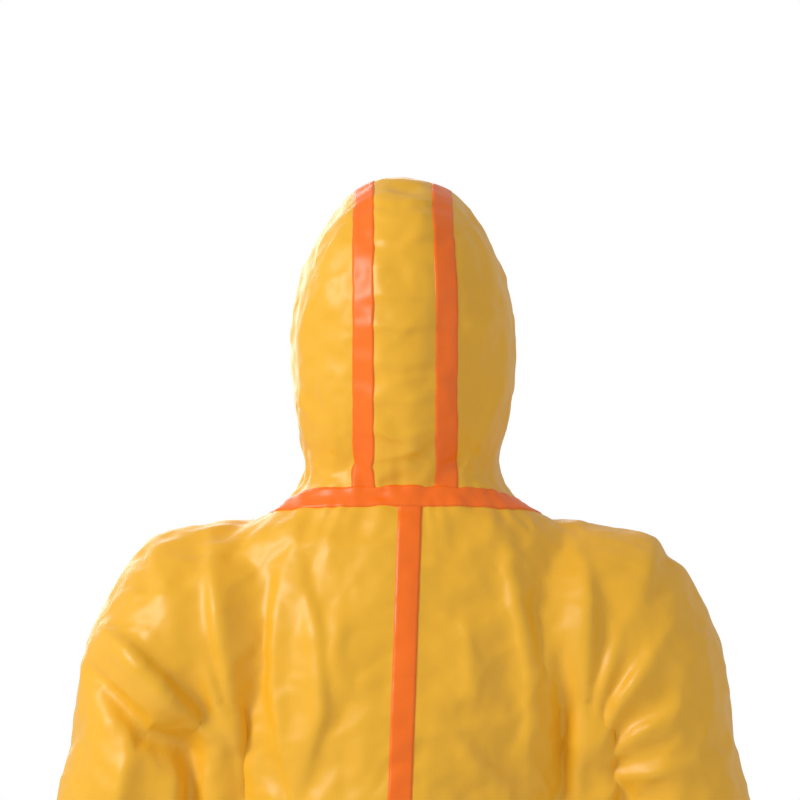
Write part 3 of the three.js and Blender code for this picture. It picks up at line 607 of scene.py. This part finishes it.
# %% The hood's own wrinkles, and broad slackness everywhere
hood_lines = [
    ([(0.034, 1.7035), (0.0, 1.701), (-0.034, 1.7045)], 0.0016, 0.003, 0.007),
    ([(0.030, 1.689), (0.0, 1.6865), (-0.030, 1.690)], 0.0014, 0.003, 0.006),
    ([(0.034, 1.667), (0.004, 1.664), (-0.034, 1.670)], 0.0018, 0.003, 0.008),
    ([(0.034, 1.640), (0.0, 1.643), (-0.028, 1.638)], 0.0010, 0.004, 0.007),
    ([(0.030, 1.617), (-0.002, 1.613), (-0.034, 1.617)], 0.0016, 0.0035, 0.008),
    ([(0.034, 1.590), (0.006, 1.5855), (-0.034, 1.591)], 0.0026, 0.0035, 0.009),
    ([(0.030, 1.556), (0.0, 1.553), (-0.034, 1.559)], 0.0018, 0.004, 0.009),
    ([(0.034, 1.524), (0.0, 1.520), (-0.030, 1.527)], 0.0016, 0.004, 0.008),
    ([(0.032, 1.499), (-0.004, 1.484), (-0.030, 1.462)], 0.0022, 0.004, 0.008),
    ([(0.028, 1.468), (0.0, 1.474), (-0.030, 1.490)], 0.0016, 0.004, 0.007),
    ([(-0.094, 1.556), (-0.074, 1.50), (-0.046, 1.446)], 0.005, 0.006, 0.014),
    ([(-0.100, 1.60), (-0.080, 1.60), (-0.052, 1.585)], 0.002, 0.006, 0.010),
    ([(0.096, 1.54), (0.088, 1.49), (0.070, 1.446)], 0.0045, 0.012, 0.006),
    ([(0.080, 1.56), (0.066, 1.51), (0.055, 1.450)], 0.0025, 0.007, 0.012),
    ([(0.060, 1.685), (0.072, 1.64), (0.066, 1.59)], 0.003, 0.010, 0.014),
    ([(-0.060, 1.680), (-0.078, 1.62), (-0.070, 1.57)], 0.003, 0.014, 0.010),
]
shift = lift[:, None] * no
for points, height, left, right in hood_lines:
    shift += fold(co, no, points, height, left, right, fade=(0.2, 0.2))
# The finer skin can hold the folds' sharp flanks, so each is drawn a second time.
for points, height, left, right in BACK_FOLDS:
    shift += fold(co, no, points, 0.6 * height, left * 0.8, right * 0.8)
clear = step(np.abs(co[:, 0]), 0.05, 0.105)[:, None]  # the storm flap folds back onto flat cloth
for points, height, left, right in FRONT_FOLDS:
    shift += clear * fold(co, no, points, 1.3 * height, left * 0.9, right * 0.9, facing=-1)
still = (np.abs(co[:, 0] - 0.025) < 0.075) & (co[:, 1] < DEPTH_MID - 0.05)
still &= (co[:, 2] < ZIP_HIGH + 0.02) & (co[:, 2] > ZIP_LOW - 0.03)
slack = 0.0016 * wave(co * [1, 1, 0.55], 0.085, 3) + 0.0006 * wave(co, 0.034, 5)
crease = 0.0008 * (1 - 2 * np.abs(wave(co * [1, 1, 0.8], 0.06, 8))).clip(0)
shift += np.where(still, 0, (slack + crease) * step(far + 5 * ~front, 0, 0.3))[:, None] * no
write(skin, co + shift)
print("fine skin:", len(skin.data.polygons), "faces")

# %% [markdown]
# ## Finishes
# Every finish is made of nodes, so it has no picture to stretch. The cloth is a satin film on nonwoven, pressed
# with a very fine cross-hatch. Its colour drifts a little, as a dyed web does. The tape is smoother and brighter.


# %% Materials
def finish(name, colour, rough, bump=(), drift=0.06, sheen=0.0, drift_scale=9.0, rough_drift=0.06):
    """A finish with a drifting colour and roughness. bump lists (kind, scale, strength, stretch)."""
    m = bpy.data.materials.new(name)
    m.use_nodes = True
    nodes, links = m.node_tree.nodes, m.node_tree.links
    shader = nodes["Principled BSDF"]
    shader.inputs["Sheen Weight"].default_value = sheen
    place = nodes.new("ShaderNodeTexCoord")
    noise = nodes.new("ShaderNodeTexNoise")
    noise.inputs["Scale"].default_value = drift_scale
    noise.inputs["Detail"].default_value = 5
    links.new(place.outputs["Object"], noise.inputs["Vector"])
    ramp = nodes.new("ShaderNodeValToRGB")
    ramp.color_ramp.elements[0].position, ramp.color_ramp.elements[1].position = 0.3, 0.7
    ramp.color_ramp.elements[0].color = (*[c * (1 - drift) for c in colour], 1)
    ramp.color_ramp.elements[1].color = (*[min(1, c * (1 + drift)) for c in colour], 1)
    links.new(noise.outputs["Fac"], ramp.inputs["Fac"])
    links.new(ramp.outputs["Color"], shader.inputs["Base Color"])
    level = nodes.new("ShaderNodeMapRange")
    level.inputs["To Min"].default_value = rough - rough_drift
    level.inputs["To Max"].default_value = rough + rough_drift
    links.new(noise.outputs["Fac"], level.inputs["Value"])
    links.new(level.outputs["Result"], shader.inputs["Roughness"])
    normal = None
    for kind, scale, strength, stretch in bump:
        mapping = nodes.new("ShaderNodeMapping")
        mapping.inputs["Scale"].default_value = stretch
        links.new(place.outputs["Object"], mapping.inputs["Vector"])
        texture = nodes.new("ShaderNodeTexNoise" if kind == "noise" else "ShaderNodeTexWave")
        texture.inputs["Scale"].default_value = scale
        if kind == "noise":
            texture.inputs["Detail"].default_value = 4
        else:
            texture.bands_direction = kind
        links.new(mapping.outputs["Vector"], texture.inputs["Vector"])
        bumped = nodes.new("ShaderNodeBump")
        bumped.inputs["Strength"].default_value = strength
        bumped.inputs["Distance"].default_value = 0.0004
        links.new(texture.outputs["Fac" if kind == "noise" else "Color"], bumped.inputs["Height"])
        if normal:
            links.new(normal.outputs["Normal"], bumped.inputs["Normal"])
        normal = bumped
    if normal:
        links.new(normal.outputs["Normal"], shader.inputs["Normal"])
    return m


EVEN = (1, 1, 1)
CLOTH = finish(
    "coated_cloth", (0.87, 0.445, 0.018), 0.40, sheen=0.02, drift=0.03,
    bump=[("DIAGONAL", 420, 0.10, EVEN), ("DIAGONAL", 420, 0.10, (-1, 1, 1)), ("noise", 60, 0.35, EVEN), ("noise", 900, 0.12, EVEN)],
)
LINING = finish("white_lining", (0.80, 0.76, 0.62), 0.8, drift=0.05, bump=[("noise", 500, 0.4, EVEN)])
TAPE = finish("seam_tape", (1.0, 0.165, 0.0), 0.40, drift=0.04, bump=[("noise", 45, 0.35, EVEN), ("noise", 400, 0.1, EVEN)])
GATHERED = finish(
    "gathered_hem", (0.80, 0.40, 0.030), 0.55, sheen=0.1, drift=0.05,
    bump=[("DIAGONAL", 420, 0.12, EVEN), ("noise", 120, 0.4, EVEN)],
)
WEBBING = finish("woven_tape", (0.80, 0.78, 0.70), 0.8, sheen=0.2, bump=[("DIAGONAL", 600, 0.5, EVEN), ("DIAGONAL", 600, 0.5, (-1, 1, 1))])
NYLON = finish("moulded_nylon", (0.86, 0.40, 0.015), 0.32, drift=0.03, bump=[("noise", 300, 0.12, EVEN)])
LINER = finish("release_liner", (0.90, 0.89, 0.84), 0.5, drift=0.03, bump=[("noise", 80, 0.2, EVEN)])
THREAD = finish("sewing_thread", (0.85, 0.50, 0.06), 0.6, sheen=0.2, drift=0.05, bump=[("noise", 2000, 0.5, EVEN)])
print("finishes:", [m.name for m in (CLOTH, LINING, TAPE, GATHERED, WEBBING, NYLON, LINER, THREAD)])

# %% [markdown]
# ## Panels
# The one skin is now cut along its seams into the panels that a factory would sew. Each panel keeps the shading
# normals of the whole skin, so no line shows where two panels meet.

# %% Cut the skin along its seams
JACKET_END, WAIST_END, THIGH_END = 1.10, 0.87, 0.60
bm = bmesh.new()
bm.from_mesh(skin.data)
NECK_POINT, NECK_NORMAL = (0, DEPTH_MID, NECK), Vector((0, -NECK_LEAN, 1)).normalized()


def over_neck(p):
    return (Vector(p) - Vector(NECK_POINT)).dot(NECK_NORMAL) > 0


near_neck = lambda f: 1.36 < f.calc_center_median().z < 1.48
cut(bm, NECK_POINT, NECK_NORMAL, keep=near_neck)
on_hood = lambda f: over_neck(f.calc_center_median())
for x in (0.036, -0.036):
    cut(bm, (x, 0, 0), (1, 0, 0), keep=on_hood)
cut(bm, (0, 0, 0), (1, 0, 0), keep=lambda f: abs(f.calc_center_median().x) < 0.03)
for z in (JACKET_END, WAIST_END, THIGH_END):
    cut(bm, (0, 0, z), (0, 0, 1), keep=lambda f, z=z: abs(f.calc_center_median().z - z) < 0.02)
bm.to_mesh(skin.data)
bm.free()
co, no = read(skin)
faces = [tuple(p.vertices) for p in skin.data.polygons]
tree = BVHTree.FromPolygons([Vector(p) for p in co], faces)


def panel_of(p):
    side = "left" if p[0] > 0 else "right"
    if over_neck(p):
        strip = abs(p[0]) < 0.036 and (p[1] > DEPTH_MID - 0.02 or p[2] > FACE_Z)
        return "hood_centre" if strip else f"hood_{side}"
    if p[2] > JACKET_END:
        return f"jacket_{side}"
    if is_arm(p):
        return f"sleeve_{side}"
    if p[2] > WAIST_END:
        return f"waist_{side}"
    return f"trousers_{side}" if p[2] > THIGH_END else f"leg_{side}"


groups = {}
for f in faces:
    groups.setdefault(panel_of(co[list(f)].mean(0)), []).append(f)


def make(name, points, polygons, material, normals=None, inner=None):
    """A mesh object; inner gives a second material to the polygons from that index on."""
    mesh = bpy.data.meshes.new(name)
    mesh.from_pydata([tuple(p) for p in points], [], polygons)
    mesh.materials.append(material)
    if inner is not None:
        mesh.materials.append(LINING)
        mesh.polygons.foreach_set("material_index", [int(i >= inner) for i in range(len(polygons))])
    mesh.polygons.foreach_set("use_smooth", [True] * len(polygons))
    if normals is not None:
        mesh.normals_split_custom_set_from_vertices([tuple(n) for n in normals])
    mesh.update()
    obj = bpy.data.objects.new(name, mesh)
    bpy.context.collection.objects.link(obj)
    return obj


def cloth_panel(name, polygons):
    used = sorted({v for f in polygons for v in f})
    place = {v: i for i, v in enumerate(used)}
    outer = [tuple(place[v] for v in f) for f in polygons]
    points, normals = co[used], no[used]
    if not name.startswith("hood"):
        return make(name, points, outer, CLOTH, normals)
    # The hood is seen from inside through the face opening, so it gets its own pale inner face.
    n = len(used)
    inside = [tuple(n + v for v in reversed(f)) for f in outer]
    both = np.concatenate([points, points - 0.0009 * normals])
    runs = {(f[k], f[(k + 1) % len(f)]) for f in outer for k in range(len(f))}
    rim = [(b, a, n + a, n + b) for a, b in sorted(runs) if (b, a) not in runs]
    return make(name, both, outer + inside + rim, CLOTH, np.concatenate([normals, -normals]), inner=len(outer))


panels = {name: cloth_panel(name, polygons) for name, polygons in groups.items()}
bpy.data.objects.remove(skin)
for name, obj in sorted(panels.items()):
    print(name, len(obj.data.vertices), "points")

# %% [markdown]
# ## Seam tape
# Each stitched seam is sealed with a 22 mm film tape, ironed on. Here a tape is a strip of points that follows a
# line on the cloth and is laid back onto the skin, so it takes every wrinkle under it. Its edges dip into the cloth.

# %% Lay strips on the cloth
TAPE_WIDTH = 0.022


def on_skin(origin, direction, top=None):
    """Where a ray from inside meets the cloth."""
    hit = tree.ray_cast(Vector(origin), Vector(direction).normalized())[0]
    return np.array(hit) if hit else None


def even(line, pitch):
    line = np.array([p for p in line if p is not None])
    run = np.concatenate([[0], np.cumsum(np.linalg.norm(np.diff(line, axis=0), axis=1))])
    at = np.linspace(0, run[-1], max(2, round(run[-1] / pitch) + 1))
    return np.stack([np.interp(at, run, line[:, k]) for k in range(3)], 1)


def settle(points, count=3):
    """Evens out small jumps along a line, but keeps its ends."""
    for _ in range(count):
        points[1:-1] = (points[:-2] + 2 * points[1:-1] + points[2:]) / 4
    return points


def strip(name, line, width=TAPE_WIDTH, proud=0.0006, material=TAPE, closed=False):
    line = settle(even(line, 0.003))
    ends = np.roll(line, -1, 0) - np.roll(line, 1, 0)
    if not closed:
        ends[0], ends[-1] = line[1] - line[0], line[-1] - line[-2]
    shares = [-0.5, -0.49, -0.36, -0.18, 0, 0.18, 0.36, 0.49, 0.5]
    heights = [-0.0006, proud * 0.8, proud, proud, proud, proud, proud, proud * 0.8, -0.0006]
    rows = []
    for p, run in zip(line, ends):
        _, normal, _, _ = tree.find_nearest(Vector(p))
        across = Vector(run).cross(normal).normalized()
        for share, high in zip(shares, heights):
            spot, n, _, _ = tree.find_nearest(Vector(p) + share * width * across)
            rows.append(np.array(spot) + high * np.array(n))
    n = len(shares)
    polygons = [
        (r * n + k, r * n + k + 1, (r + 1) * n + k + 1, (r + 1) * n + k)
        for r in range(len(line) - 1)
        for k in range(n - 1)
    ]
    return make(name, rows, polygons, material)


tapes = {}
for side, word in ((1, "left"), (-1, "right")):
    over = []
    for a in np.linspace(math.radians(-36), math.radians(180), 90):
        way = (0, math.cos(a + math.pi), math.sin(a)) if a < 0 else (0, -math.cos(a), math.sin(a))
        x = side * 0.0357 - (0.0035 * step(np.array(a), 2.2, 3.1) if side < 0 else 0)
        over.append(on_skin((float(x), DEPTH_MID, 1.60), way))
    rim = [p for p in over if p is not None and (p[1] > DEPTH_MID - 0.02 or p[2] > FACE_Z + 0.09)]
    for z in np.arange(1.596, 1.437, -0.004):
        x = side * 0.0357 if side > 0 else -0.0392
        rim.append(on_skin((x, DEPTH_MID, z), (0, 1, 0)))
    tapes[f"hood_tape_{word}"] = strip(f"hood_tape_{word}", rim)
    line = [on_skin((0, DEPTH_MID, z), (side, 0, 0)) for z in np.arange(1.098, 0.872, -0.004)]
    tapes[f"side_tape_{word}"] = strip(f"side_tape_{word}", line)
    line = []
    for p in np.arange(-1.096, -0.81, 0.004):
        x, y, turn, _, _, _ = smooth_keys(SLEEVE, np.array([p]))[0]
        turn = math.radians(turn)
        line.append(on_skin((x * side, y + DEPTH_MID, -p), (-side * math.cos(turn), 0, -math.sin(turn))))
    tapes[f"sleeve_tape_{word}"] = strip(f"sleeve_tape_{word}", line)
    inner = []
    for z in np.arange(0.706, 0.034, -0.004):
        x = smooth_keys(LEG, np.array([-z]))[0][0]
        inner.append(on_skin((x * side, DEPTH_MID, z), (-side, 0, 0)))
    inner = [p for p in inner if p is not None]
    tapes[f"thigh_tape_{word}"] = strip(f"thigh_tape_{word}", [p for p in inner if p[2] > THIGH_END - 0.002])
    tapes[f"leg_tape_{word}"] = strip(f"leg_tape_{word}", [p for p in inner if p[2] < THIGH_END + 0.002])
line = []
for z in np.arange(1.428, 0.80, -0.004):
    x = float(np.interp(z, [0.80, 0.92, 1.15, 1.428], [0.0002, 0.002, 0.0037, -0.0065]))
    line.append(on_skin((x, DEPTH_MID, z), (0, 1, 0)))
for a in np.linspace(0, math.radians(158), 60):
    line.append(on_skin((0, DEPTH_MID, 0.80), (0, math.cos(a), -math.sin(a))))
line = [p for p in line if p is not None and not (p[1] < DEPTH_MID - 0.05 and p[2] > ZIP_LOW - 0.006)]
tapes["centre_back_tape"] = strip("centre_back_tape", line)
line = []
for a in np.linspace(math.radians(-78), math.radians(258), 240):
    line.append(on_skin((0, DEPTH_MID, NECK), (math.cos(a), math.sin(a), NECK_LEAN * math.sin(a))))
tapes["neck_tape"] = strip("neck_tape", line, width=0.021, proud=0.0011)
print(len(tapes), "strips of tape")

# %% [markdown]
# ## Elastic hems
# At the face, wrists and ankles the cloth is folded over an elastic cord and pulled in. Each hem is a ring whose
# section is a flat fold, and uneven pleats run round it. Its top tucks under the skin.


# %% Gathered rings
def pleat(turn, count, seed, depth):
    """Uneven pleats round a ring."""
    uneven = 0.6 + 0.4 * np.sin(3 * turn + seed)
    return depth * uneven * np.sin(count * turn + 2.2 * np.sin(2 * turn + seed) + seed)


def ring_surface(name, rings, material):
    n = len(rings[0])
    m = len(rings)
    polygons = [
        (r * n + k, r * n + (k + 1) % n, (r + 1) % m * n + (k + 1) % n, (r + 1) % m * n + k)
        for r in range(m)
        for k in range(n)
    ]
    obj = make(name, np.concatenate(rings), polygons, material)
    bm = bmesh.new()
    bm.from_mesh(obj.data)
    bmesh.ops.recalc_face_normals(bm, faces=bm.faces)
    bm.to_mesh(obj.data)
    bm.free()
    return obj


TURN = np.linspace(0, 2 * math.pi, 216, endpoint=False)


def gathered_end(name, centre, up, length, pull_in):
    """A hem at the end of a sleeve or leg: length down from the cut, drawn in by the share pull_in."""
    up = Vector(up).normalized()
    e1 = up.orthogonal().normalized()
    e2 = up.cross(e1)
    start = Vector(centre) + up * 0.004
    radius = []
    for t in TURN:
        way = math.cos(t) * e1 + math.sin(t) * e2
        hit = tree.ray_cast(start, way)
        radius.append(hit[3] if hit[0] else np.nan)
    radius = np.array(radius)
    radius = np.where(np.isnan(radius), np.nanmedian(radius), radius)
    profile = [
        (-0.006, -0.0024), (0.0, -0.0010), (0.08, 0.0004), (0.2, 0.0010), (0.33, 0.0002), (0.45, -0.0004),
        (0.58, 0.0006), (0.75, 0.0016), (0.9, 0.0014), (0.97, 0.0004), (1.0, -0.0012), (0.96, -0.0028),
        (0.8, -0.0036), (0.5, -0.0040), (0.1, -0.0044),
    ]
    rings = []
    for share, high in profile:
        deep = pleat(TURN, 27, 1.3, 0.0013) + pleat(TURN, 41, 0.4, 0.0005)
        r = radius * (1 - pull_in * max(share, 0)) - 0.001 + high + deep * (0.35 + 0.65 * (high > -0.002))
        along = 0.004 + max(share, 0) * length + min(share, 0)
        spokes = np.outer(np.cos(TURN), e1) + np.outer(np.sin(TURN), e2)
        rings.append(np.array(start - up * along) + r[:, None] * spokes)
    return ring_surface(name, rings, GATHERED)


hems = {}
for side, word in ((1, "left"), (-1, "right")):
    up = mirrored(CUFF_RUN, side)
    hems[f"cuff_{word}"] = gathered_end(f"cuff_{word}", mirrored(CUFF_TOP, side), up, 0.0275, 0.04)
    centre = Vector((side * 0.111, DEPTH_MID, ANKLE_TOP))
    hems[f"ankle_{word}"] = gathered_end(f"ankle_{word}", centre, (0, 0, 1), ANKLE_TOP - HEM - 0.0005, 0.05)

rings = []
sections = 12
for k in range(sections):
    a = 2 * math.pi * k / sections
    rings.append([])
    for t in TURN:
        edge = (1.01 * FACE_WIDE * math.cos(t), FACE_Z + 1.01 * FACE_HIGH * math.sin(t))
        hit = tree.ray_cast(Vector((edge[0], -0.4, edge[1])), Vector((0, 1, 0)))[0]
        y = hit.y if hit else DEPTH_MID - 0.09
        r = 0.0042 + float(pleat(np.array(t), 61, 0.7, 0.0009) + pleat(np.array(t), 37, 2.0, 0.0006))
        out = 0.0010 + r * 0.75 * math.cos(a)
        rings[-1].append(np.array([edge[0] + out * math.cos(t), y + 0.001 + r * math.sin(a), edge[1] + out * math.sin(t)]))
rings = [np.array(r) for r in rings]
hems["face_hem"] = ring_surface("face_hem", rings, GATHERED)
line = [on_skin((0, DEPTH_MID, WAIST), (math.cos(a), math.sin(a), 0)) for a in np.linspace(0.36, math.pi - 0.36, 120)]
hems["waist_band"] = strip("waist_band", line, width=0.024, proud=-0.0035, material=WEBBING)
print("hems:", sorted(hems))

# %% [markdown]
# ## The front: zip, flaps and stitching
# A coil zip closes the front. A thin inner flap lies behind it and a wider storm flap in front. The storm flap
# arches over the slider, is sewn along its left edge, and carries a strip of adhesive with its release paper.


# %% Zip teeth and flaps
def blocks(name, places, sizes, ways, material):
    """Many small rounded blocks as one mesh: six-sided along their first way."""
    points, polygons = [], []
    for place, size, (e1, e2, e3) in zip(places, sizes, ways):
        at = len(points)
        for end in (-0.5, 0.5):
            for a in np.arange(6) * math.pi / 3:
                points.append(place + end * size[0] * e1 + 0.5 * size[1] * math.cos(a) * e2 + 0.5 * size[2] * math.sin(a) * e3)
        polygons += [(at + k, at + (k + 1) % 6, at + 6 + (k + 1) % 6, at + 6 + k) for k in range(6)]
        polygons += [tuple(at + k for k in range(5, -1, -1)), tuple(at + 6 + k for k in range(6))]
    return make(name, points, polygons, material)


X, Y, Z = np.eye(3)
UP_ZIP = np.array([0, ZIP_LEAN, 1]) / math.hypot(1, ZIP_LEAN)
OFF_ZIP = np.cross(UP_ZIP, X)
heights = np.arange(corners("zip_coil")[0].z + 0.001, corners("zip_coil")[1].z, 0.00125)
places = [np.array([(-1) ** i * 0.0010, zip_front(z) + 0.0012, z]) for i, z in enumerate(heights)]
teeth = blocks("zip_teeth", places, [(0.0034, 0.0014, 0.0022)] * len(places), [(X, UP_ZIP, OFF_ZIP)] * len(places), NYLON)


def flap(name, low, high, left, right, depth, thick, material, columns=16):
    """A long strip along the zip; depth(x, z) gives its outer face's distance in front of the zip."""
    xs = np.linspace(left, right, columns)
    zs = np.arange(low, high + 0.002, 0.004)
    front = [[x, zip_front(z) - depth(x, z), z] for z in zs for x in xs]
    back = [[x, y + thick, z] for x, y, z in front]
    n, m = len(xs), len(zs)
    quads = [(r * n + k, r * n + k + 1, (r + 1) * n + k + 1, (r + 1) * n + k) for r in range(m - 1) for k in range(n - 1)]
    edge = [k for k in range(n)] + [r * n + n - 1 for r in range(1, m)] + [(m - 1) * n + k for k in range(n - 2, -1, -1)]
    edge += [r * n for r in range(m - 2, 0, -1)]
    size = n * m
    polygons = quads + [tuple(size + v for v in reversed(q)) for q in quads]
    polygons += [(b, a, size + a, size + b) for a, b in zip(edge, edge[1:] + edge[:1])]
    return make(name, front + back, polygons, material)


FLAP_HALF = corners("storm_flap")[1].x


def arch(x, z):
    lifted = (1 - min(1, (x / FLAP_HALF) ** 2)) ** (1.5 if x > 0 else 1.15)
    limp = 0.0007 * math.sin(41 * z) + 0.0006 * math.sin(97 * z + 1) + 0.0004 * math.sin(150 * z + 2 * x / FLAP_HALF)
    free = 0.5 - 0.5 * x / FLAP_HALF
    return 0.0020 - 0.0010 * max(0, x / FLAP_HALF) + 0.0104 * lifted + limp * free


low, high = corners("storm_flap")[0].z + 0.001, corners("storm_flap")[1].z - 0.003
storm = flap("storm_flap_cloth", low, high, -FLAP_HALF + 0.0005, FLAP_HALF - 0.0005, arch, 0.0010, CLOTH)
sticky = flap("adhesive_strip", low + 0.002, high - 0.002, -0.031, -0.019, lambda x, z: arch(x, z) - 0.0012, 0.0004, LINER, 5)
low, high = corners("inner_flap")[0].z, corners("inner_flap")[1].z
inner_flap = flap("inner_flap_cloth", low, high, -0.022, 0.022, lambda x, z: -0.0056 + 0.0004 * math.sin(60 * z), 0.0008, CLOTH, 7)


def stitches(name, line, pitch=0.0036):
    """A row of thread stitches along a line in the air, each a small six-sided bar."""
    line = even(line, pitch)
    run = np.diff(line, axis=0)
    run /= np.linalg.norm(run, axis=1)[:, None]
    mid = (line[1:] + line[:-1]) / 2
    ways = []
    for r, p in zip(run, mid):
        n = np.array(tree.find_nearest(Vector(p))[1])
        across = np.cross(r, n)
        across /= np.linalg.norm(across)
        ways.append((r, across, np.cross(across, r)))
    return blocks(name, mid, [(pitch * 0.72, 0.0006, 0.0005)] * len(mid), ways, THREAD)


zs = np.arange(corners("storm_flap")[0].z + 0.004, corners("storm_flap")[1].z - 0.006, 0.004)
rows = {
    "flap_stitching_free": [(-0.0300, zip_front(z) - arch(-0.0300, z) - 0.0001, z) for z in zs],
    "flap_stitching_sewn": [(0.0300, zip_front(z) - arch(0.0300, z) - 0.0001, z) for z in zs],
}
stitched = {name: stitches(name, line) for name, line in rows.items()}
for name, z in (("waist_stitching_upper", WAIST + 0.009), ("waist_stitching_lower", WAIST - 0.009)):
    line = [on_skin((0, DEPTH_MID, z), (math.cos(a), math.sin(a), 0)) for a in np.linspace(0.36, math.pi - 0.36, 160)]
    line = settle(even(line, 0.003))
    line = [np.array(tree.find_nearest(Vector(p))[0]) + 0.0001 * np.array(tree.find_nearest(Vector(p))[1]) for p in line]
    stitched[name] = stitches(name, line)
print(len(places), "teeth;", len(stitched), "rows of stitches")

# %% [markdown]
# ## How it moves
# Some pieces ride one body of the part: the waist panels, the side, back and neck tapes, the waist band, its
# stitching, the zip teeth and the inner flap ride the trunk; the cuffs and ankle hems ride the lower limbs; the storm
# flap, its adhesive strip and its stitching ride the flap. The other panels, tapes and the face hem keep their places.
# What the CAD part models as stiff panels is replaced by this cloth.

# %% Bodies
for side, word in ((1, "left"), (-1, "right")):
    at = co[np.abs(co[:, 2] - JACKET_END) < 1e-4, 0] * side
    at = at[at > 0]
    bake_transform(panels[f"jacket_{word}"])
    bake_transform(panels[f"trousers_{word}"])
    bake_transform(tapes[f"thigh_tape_{word}"])
    for piece in (panels[f"sleeve_{word}"], tapes[f"sleeve_tape_{word}"]):
        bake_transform(piece)
    for piece in (panels[f"leg_{word}"], tapes[f"leg_tape_{word}"]):
        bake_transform(piece)
    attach(panels[f"waist_{word}"], "trunk")
    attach(tapes[f"side_tape_{word}"], "trunk")
    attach(hems[f"cuff_{word}"], f"arm_lower_{word}")
    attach(hems[f"ankle_{word}"], f"leg_lower_{word}")
for name in ("hood_centre", "hood_left", "hood_right"):
    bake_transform(panels[name])
for name in ("hood_tape_left", "hood_tape_right"):
    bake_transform(tapes[name])
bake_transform(hems["face_hem"])
for piece in (tapes["centre_back_tape"], tapes["neck_tape"], hems["waist_band"], teeth, inner_flap):
    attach(piece, "trunk")
for name, piece in stitched.items():
    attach(piece, "trunk" if name.startswith("waist") else "flap")
for piece in (storm, sticky):
    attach(piece, "flap")

for side in ("left", "right"):
    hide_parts(*[f"{n}_{side}" for n in ("shoulder_panel", "upper_sleeve")])
    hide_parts(*[f"{n}_{side}" for n in ("back_panel", "front_panel")])
    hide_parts(*[f"{n}_{side}" for n in ("elbow_panel", "forearm_sleeve")])
    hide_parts(f"thigh_leg_{side}")
    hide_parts(*[f"{n}_{side}" for n in ("knee_panel", "shin_leg")])
    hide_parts(f"hood_side_panel_{side}")
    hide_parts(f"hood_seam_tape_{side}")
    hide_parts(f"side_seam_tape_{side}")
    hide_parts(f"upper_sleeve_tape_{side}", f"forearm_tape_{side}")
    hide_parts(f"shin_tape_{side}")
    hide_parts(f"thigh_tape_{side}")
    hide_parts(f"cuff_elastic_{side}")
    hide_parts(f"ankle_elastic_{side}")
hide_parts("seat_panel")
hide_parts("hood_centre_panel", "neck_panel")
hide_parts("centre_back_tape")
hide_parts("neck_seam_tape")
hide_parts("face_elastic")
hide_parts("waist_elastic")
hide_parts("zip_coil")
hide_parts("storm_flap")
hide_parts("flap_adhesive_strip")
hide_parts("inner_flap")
for name in ("zip_slider", "zip_pull", "zip_top_stop", "zip_bottom_stop"):
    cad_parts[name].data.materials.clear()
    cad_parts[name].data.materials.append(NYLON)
for name in ("zip_tape_left", "zip_tape_right"):
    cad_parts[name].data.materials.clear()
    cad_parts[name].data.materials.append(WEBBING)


def area_of(obj):
    return sum(p.area for p in obj.data.polygons)


for name, obj in sorted(panels.items()):
    print(name, "area", round(area_of(obj), 4), "box", [round(c, 3) for c in obj.dimensions])

# %% [markdown]
# ## Light, floor and camera
# A wide, soft key from behind the left shoulder rakes across the back so that each fold has a bright and a deep
# side. A weaker fill keeps the far side warm. The floor is a pale disc well below the frame.

# %% Stage
def area_light(name, place, aim, size, power, colour=(1, 1, 1)):
    light = bpy.data.objects.new(name, bpy.data.lights.new(name, "AREA"))
    bpy.context.collection.objects.link(light)
    light.location = place
    light.rotation_euler = (Vector(aim) - Vector(place)).to_track_quat("-Z", "Y").to_euler()
    light.data.size, light.data.energy, light.data.color = size, power, colour
    return light


CHEST = (0, DEPTH_MID, 1.35)
area_light("key", (2.6, 1.7, 2.6), CHEST, 1.0, 62)
area_light("fill", (-2.6, 2.2, 1.7), CHEST, 2.4, 5)
area_light("front", (0.8, -3.0, 2.2), (0, DEPTH_MID, 0.9), 2.0, 40)
world = bpy.data.worlds.new("studio")
bpy.context.scene.world = world
world.use_nodes = True
sky = world.node_tree.nodes["Background"]
sky.inputs["Color"].default_value = (1, 1, 1, 1)
sky.inputs["Strength"].default_value = 0.55
white = world.node_tree.nodes.new("ShaderNodeBackground")
white.inputs["Strength"].default_value = 1.0
white.inputs["Color"].default_value = (1, 1, 1, 1)
seen = world.node_tree.nodes.new("ShaderNodeLightPath")
either = world.node_tree.nodes.new("ShaderNodeMixShader")
world.node_tree.links.new(seen.outputs["Is Camera Ray"], either.inputs["Fac"])
world.node_tree.links.new(sky.outputs[0], either.inputs[1])
world.node_tree.links.new(white.outputs[0], either.inputs[2])
world.node_tree.links.new(either.outputs[0], world.node_tree.nodes["World Output"].inputs["Surface"])
bpy.context.scene.view_settings.view_transform = "Standard"

bm = bmesh.new()
bmesh.ops.create_circle(bm, cap_ends=True, segments=96, radius=3.0)
mesh = bpy.data.meshes.new("floor")
bm.to_mesh(mesh)
bm.free()
floor = bpy.data.objects.new("floor", mesh)
bpy.context.collection.objects.link(floor)
floor.location = (0, DEPTH_MID, HEM - 0.001)
mesh.materials.append(finish("pale_floor", (0.86, 0.86, 0.85), 0.7, drift=0.01, bump=[("noise", 200, 0.1, EVEN)]))

camera = bpy.data.objects.new("camera", bpy.data.cameras.new("camera"))
bpy.context.collection.objects.link(camera)
camera.location = (0.0028, 3.0, 1.5226)
camera.rotation_euler = (math.radians(90), 0, math.radians(180))
camera.data.lens = 145.2
bpy.context.scene.camera = camera
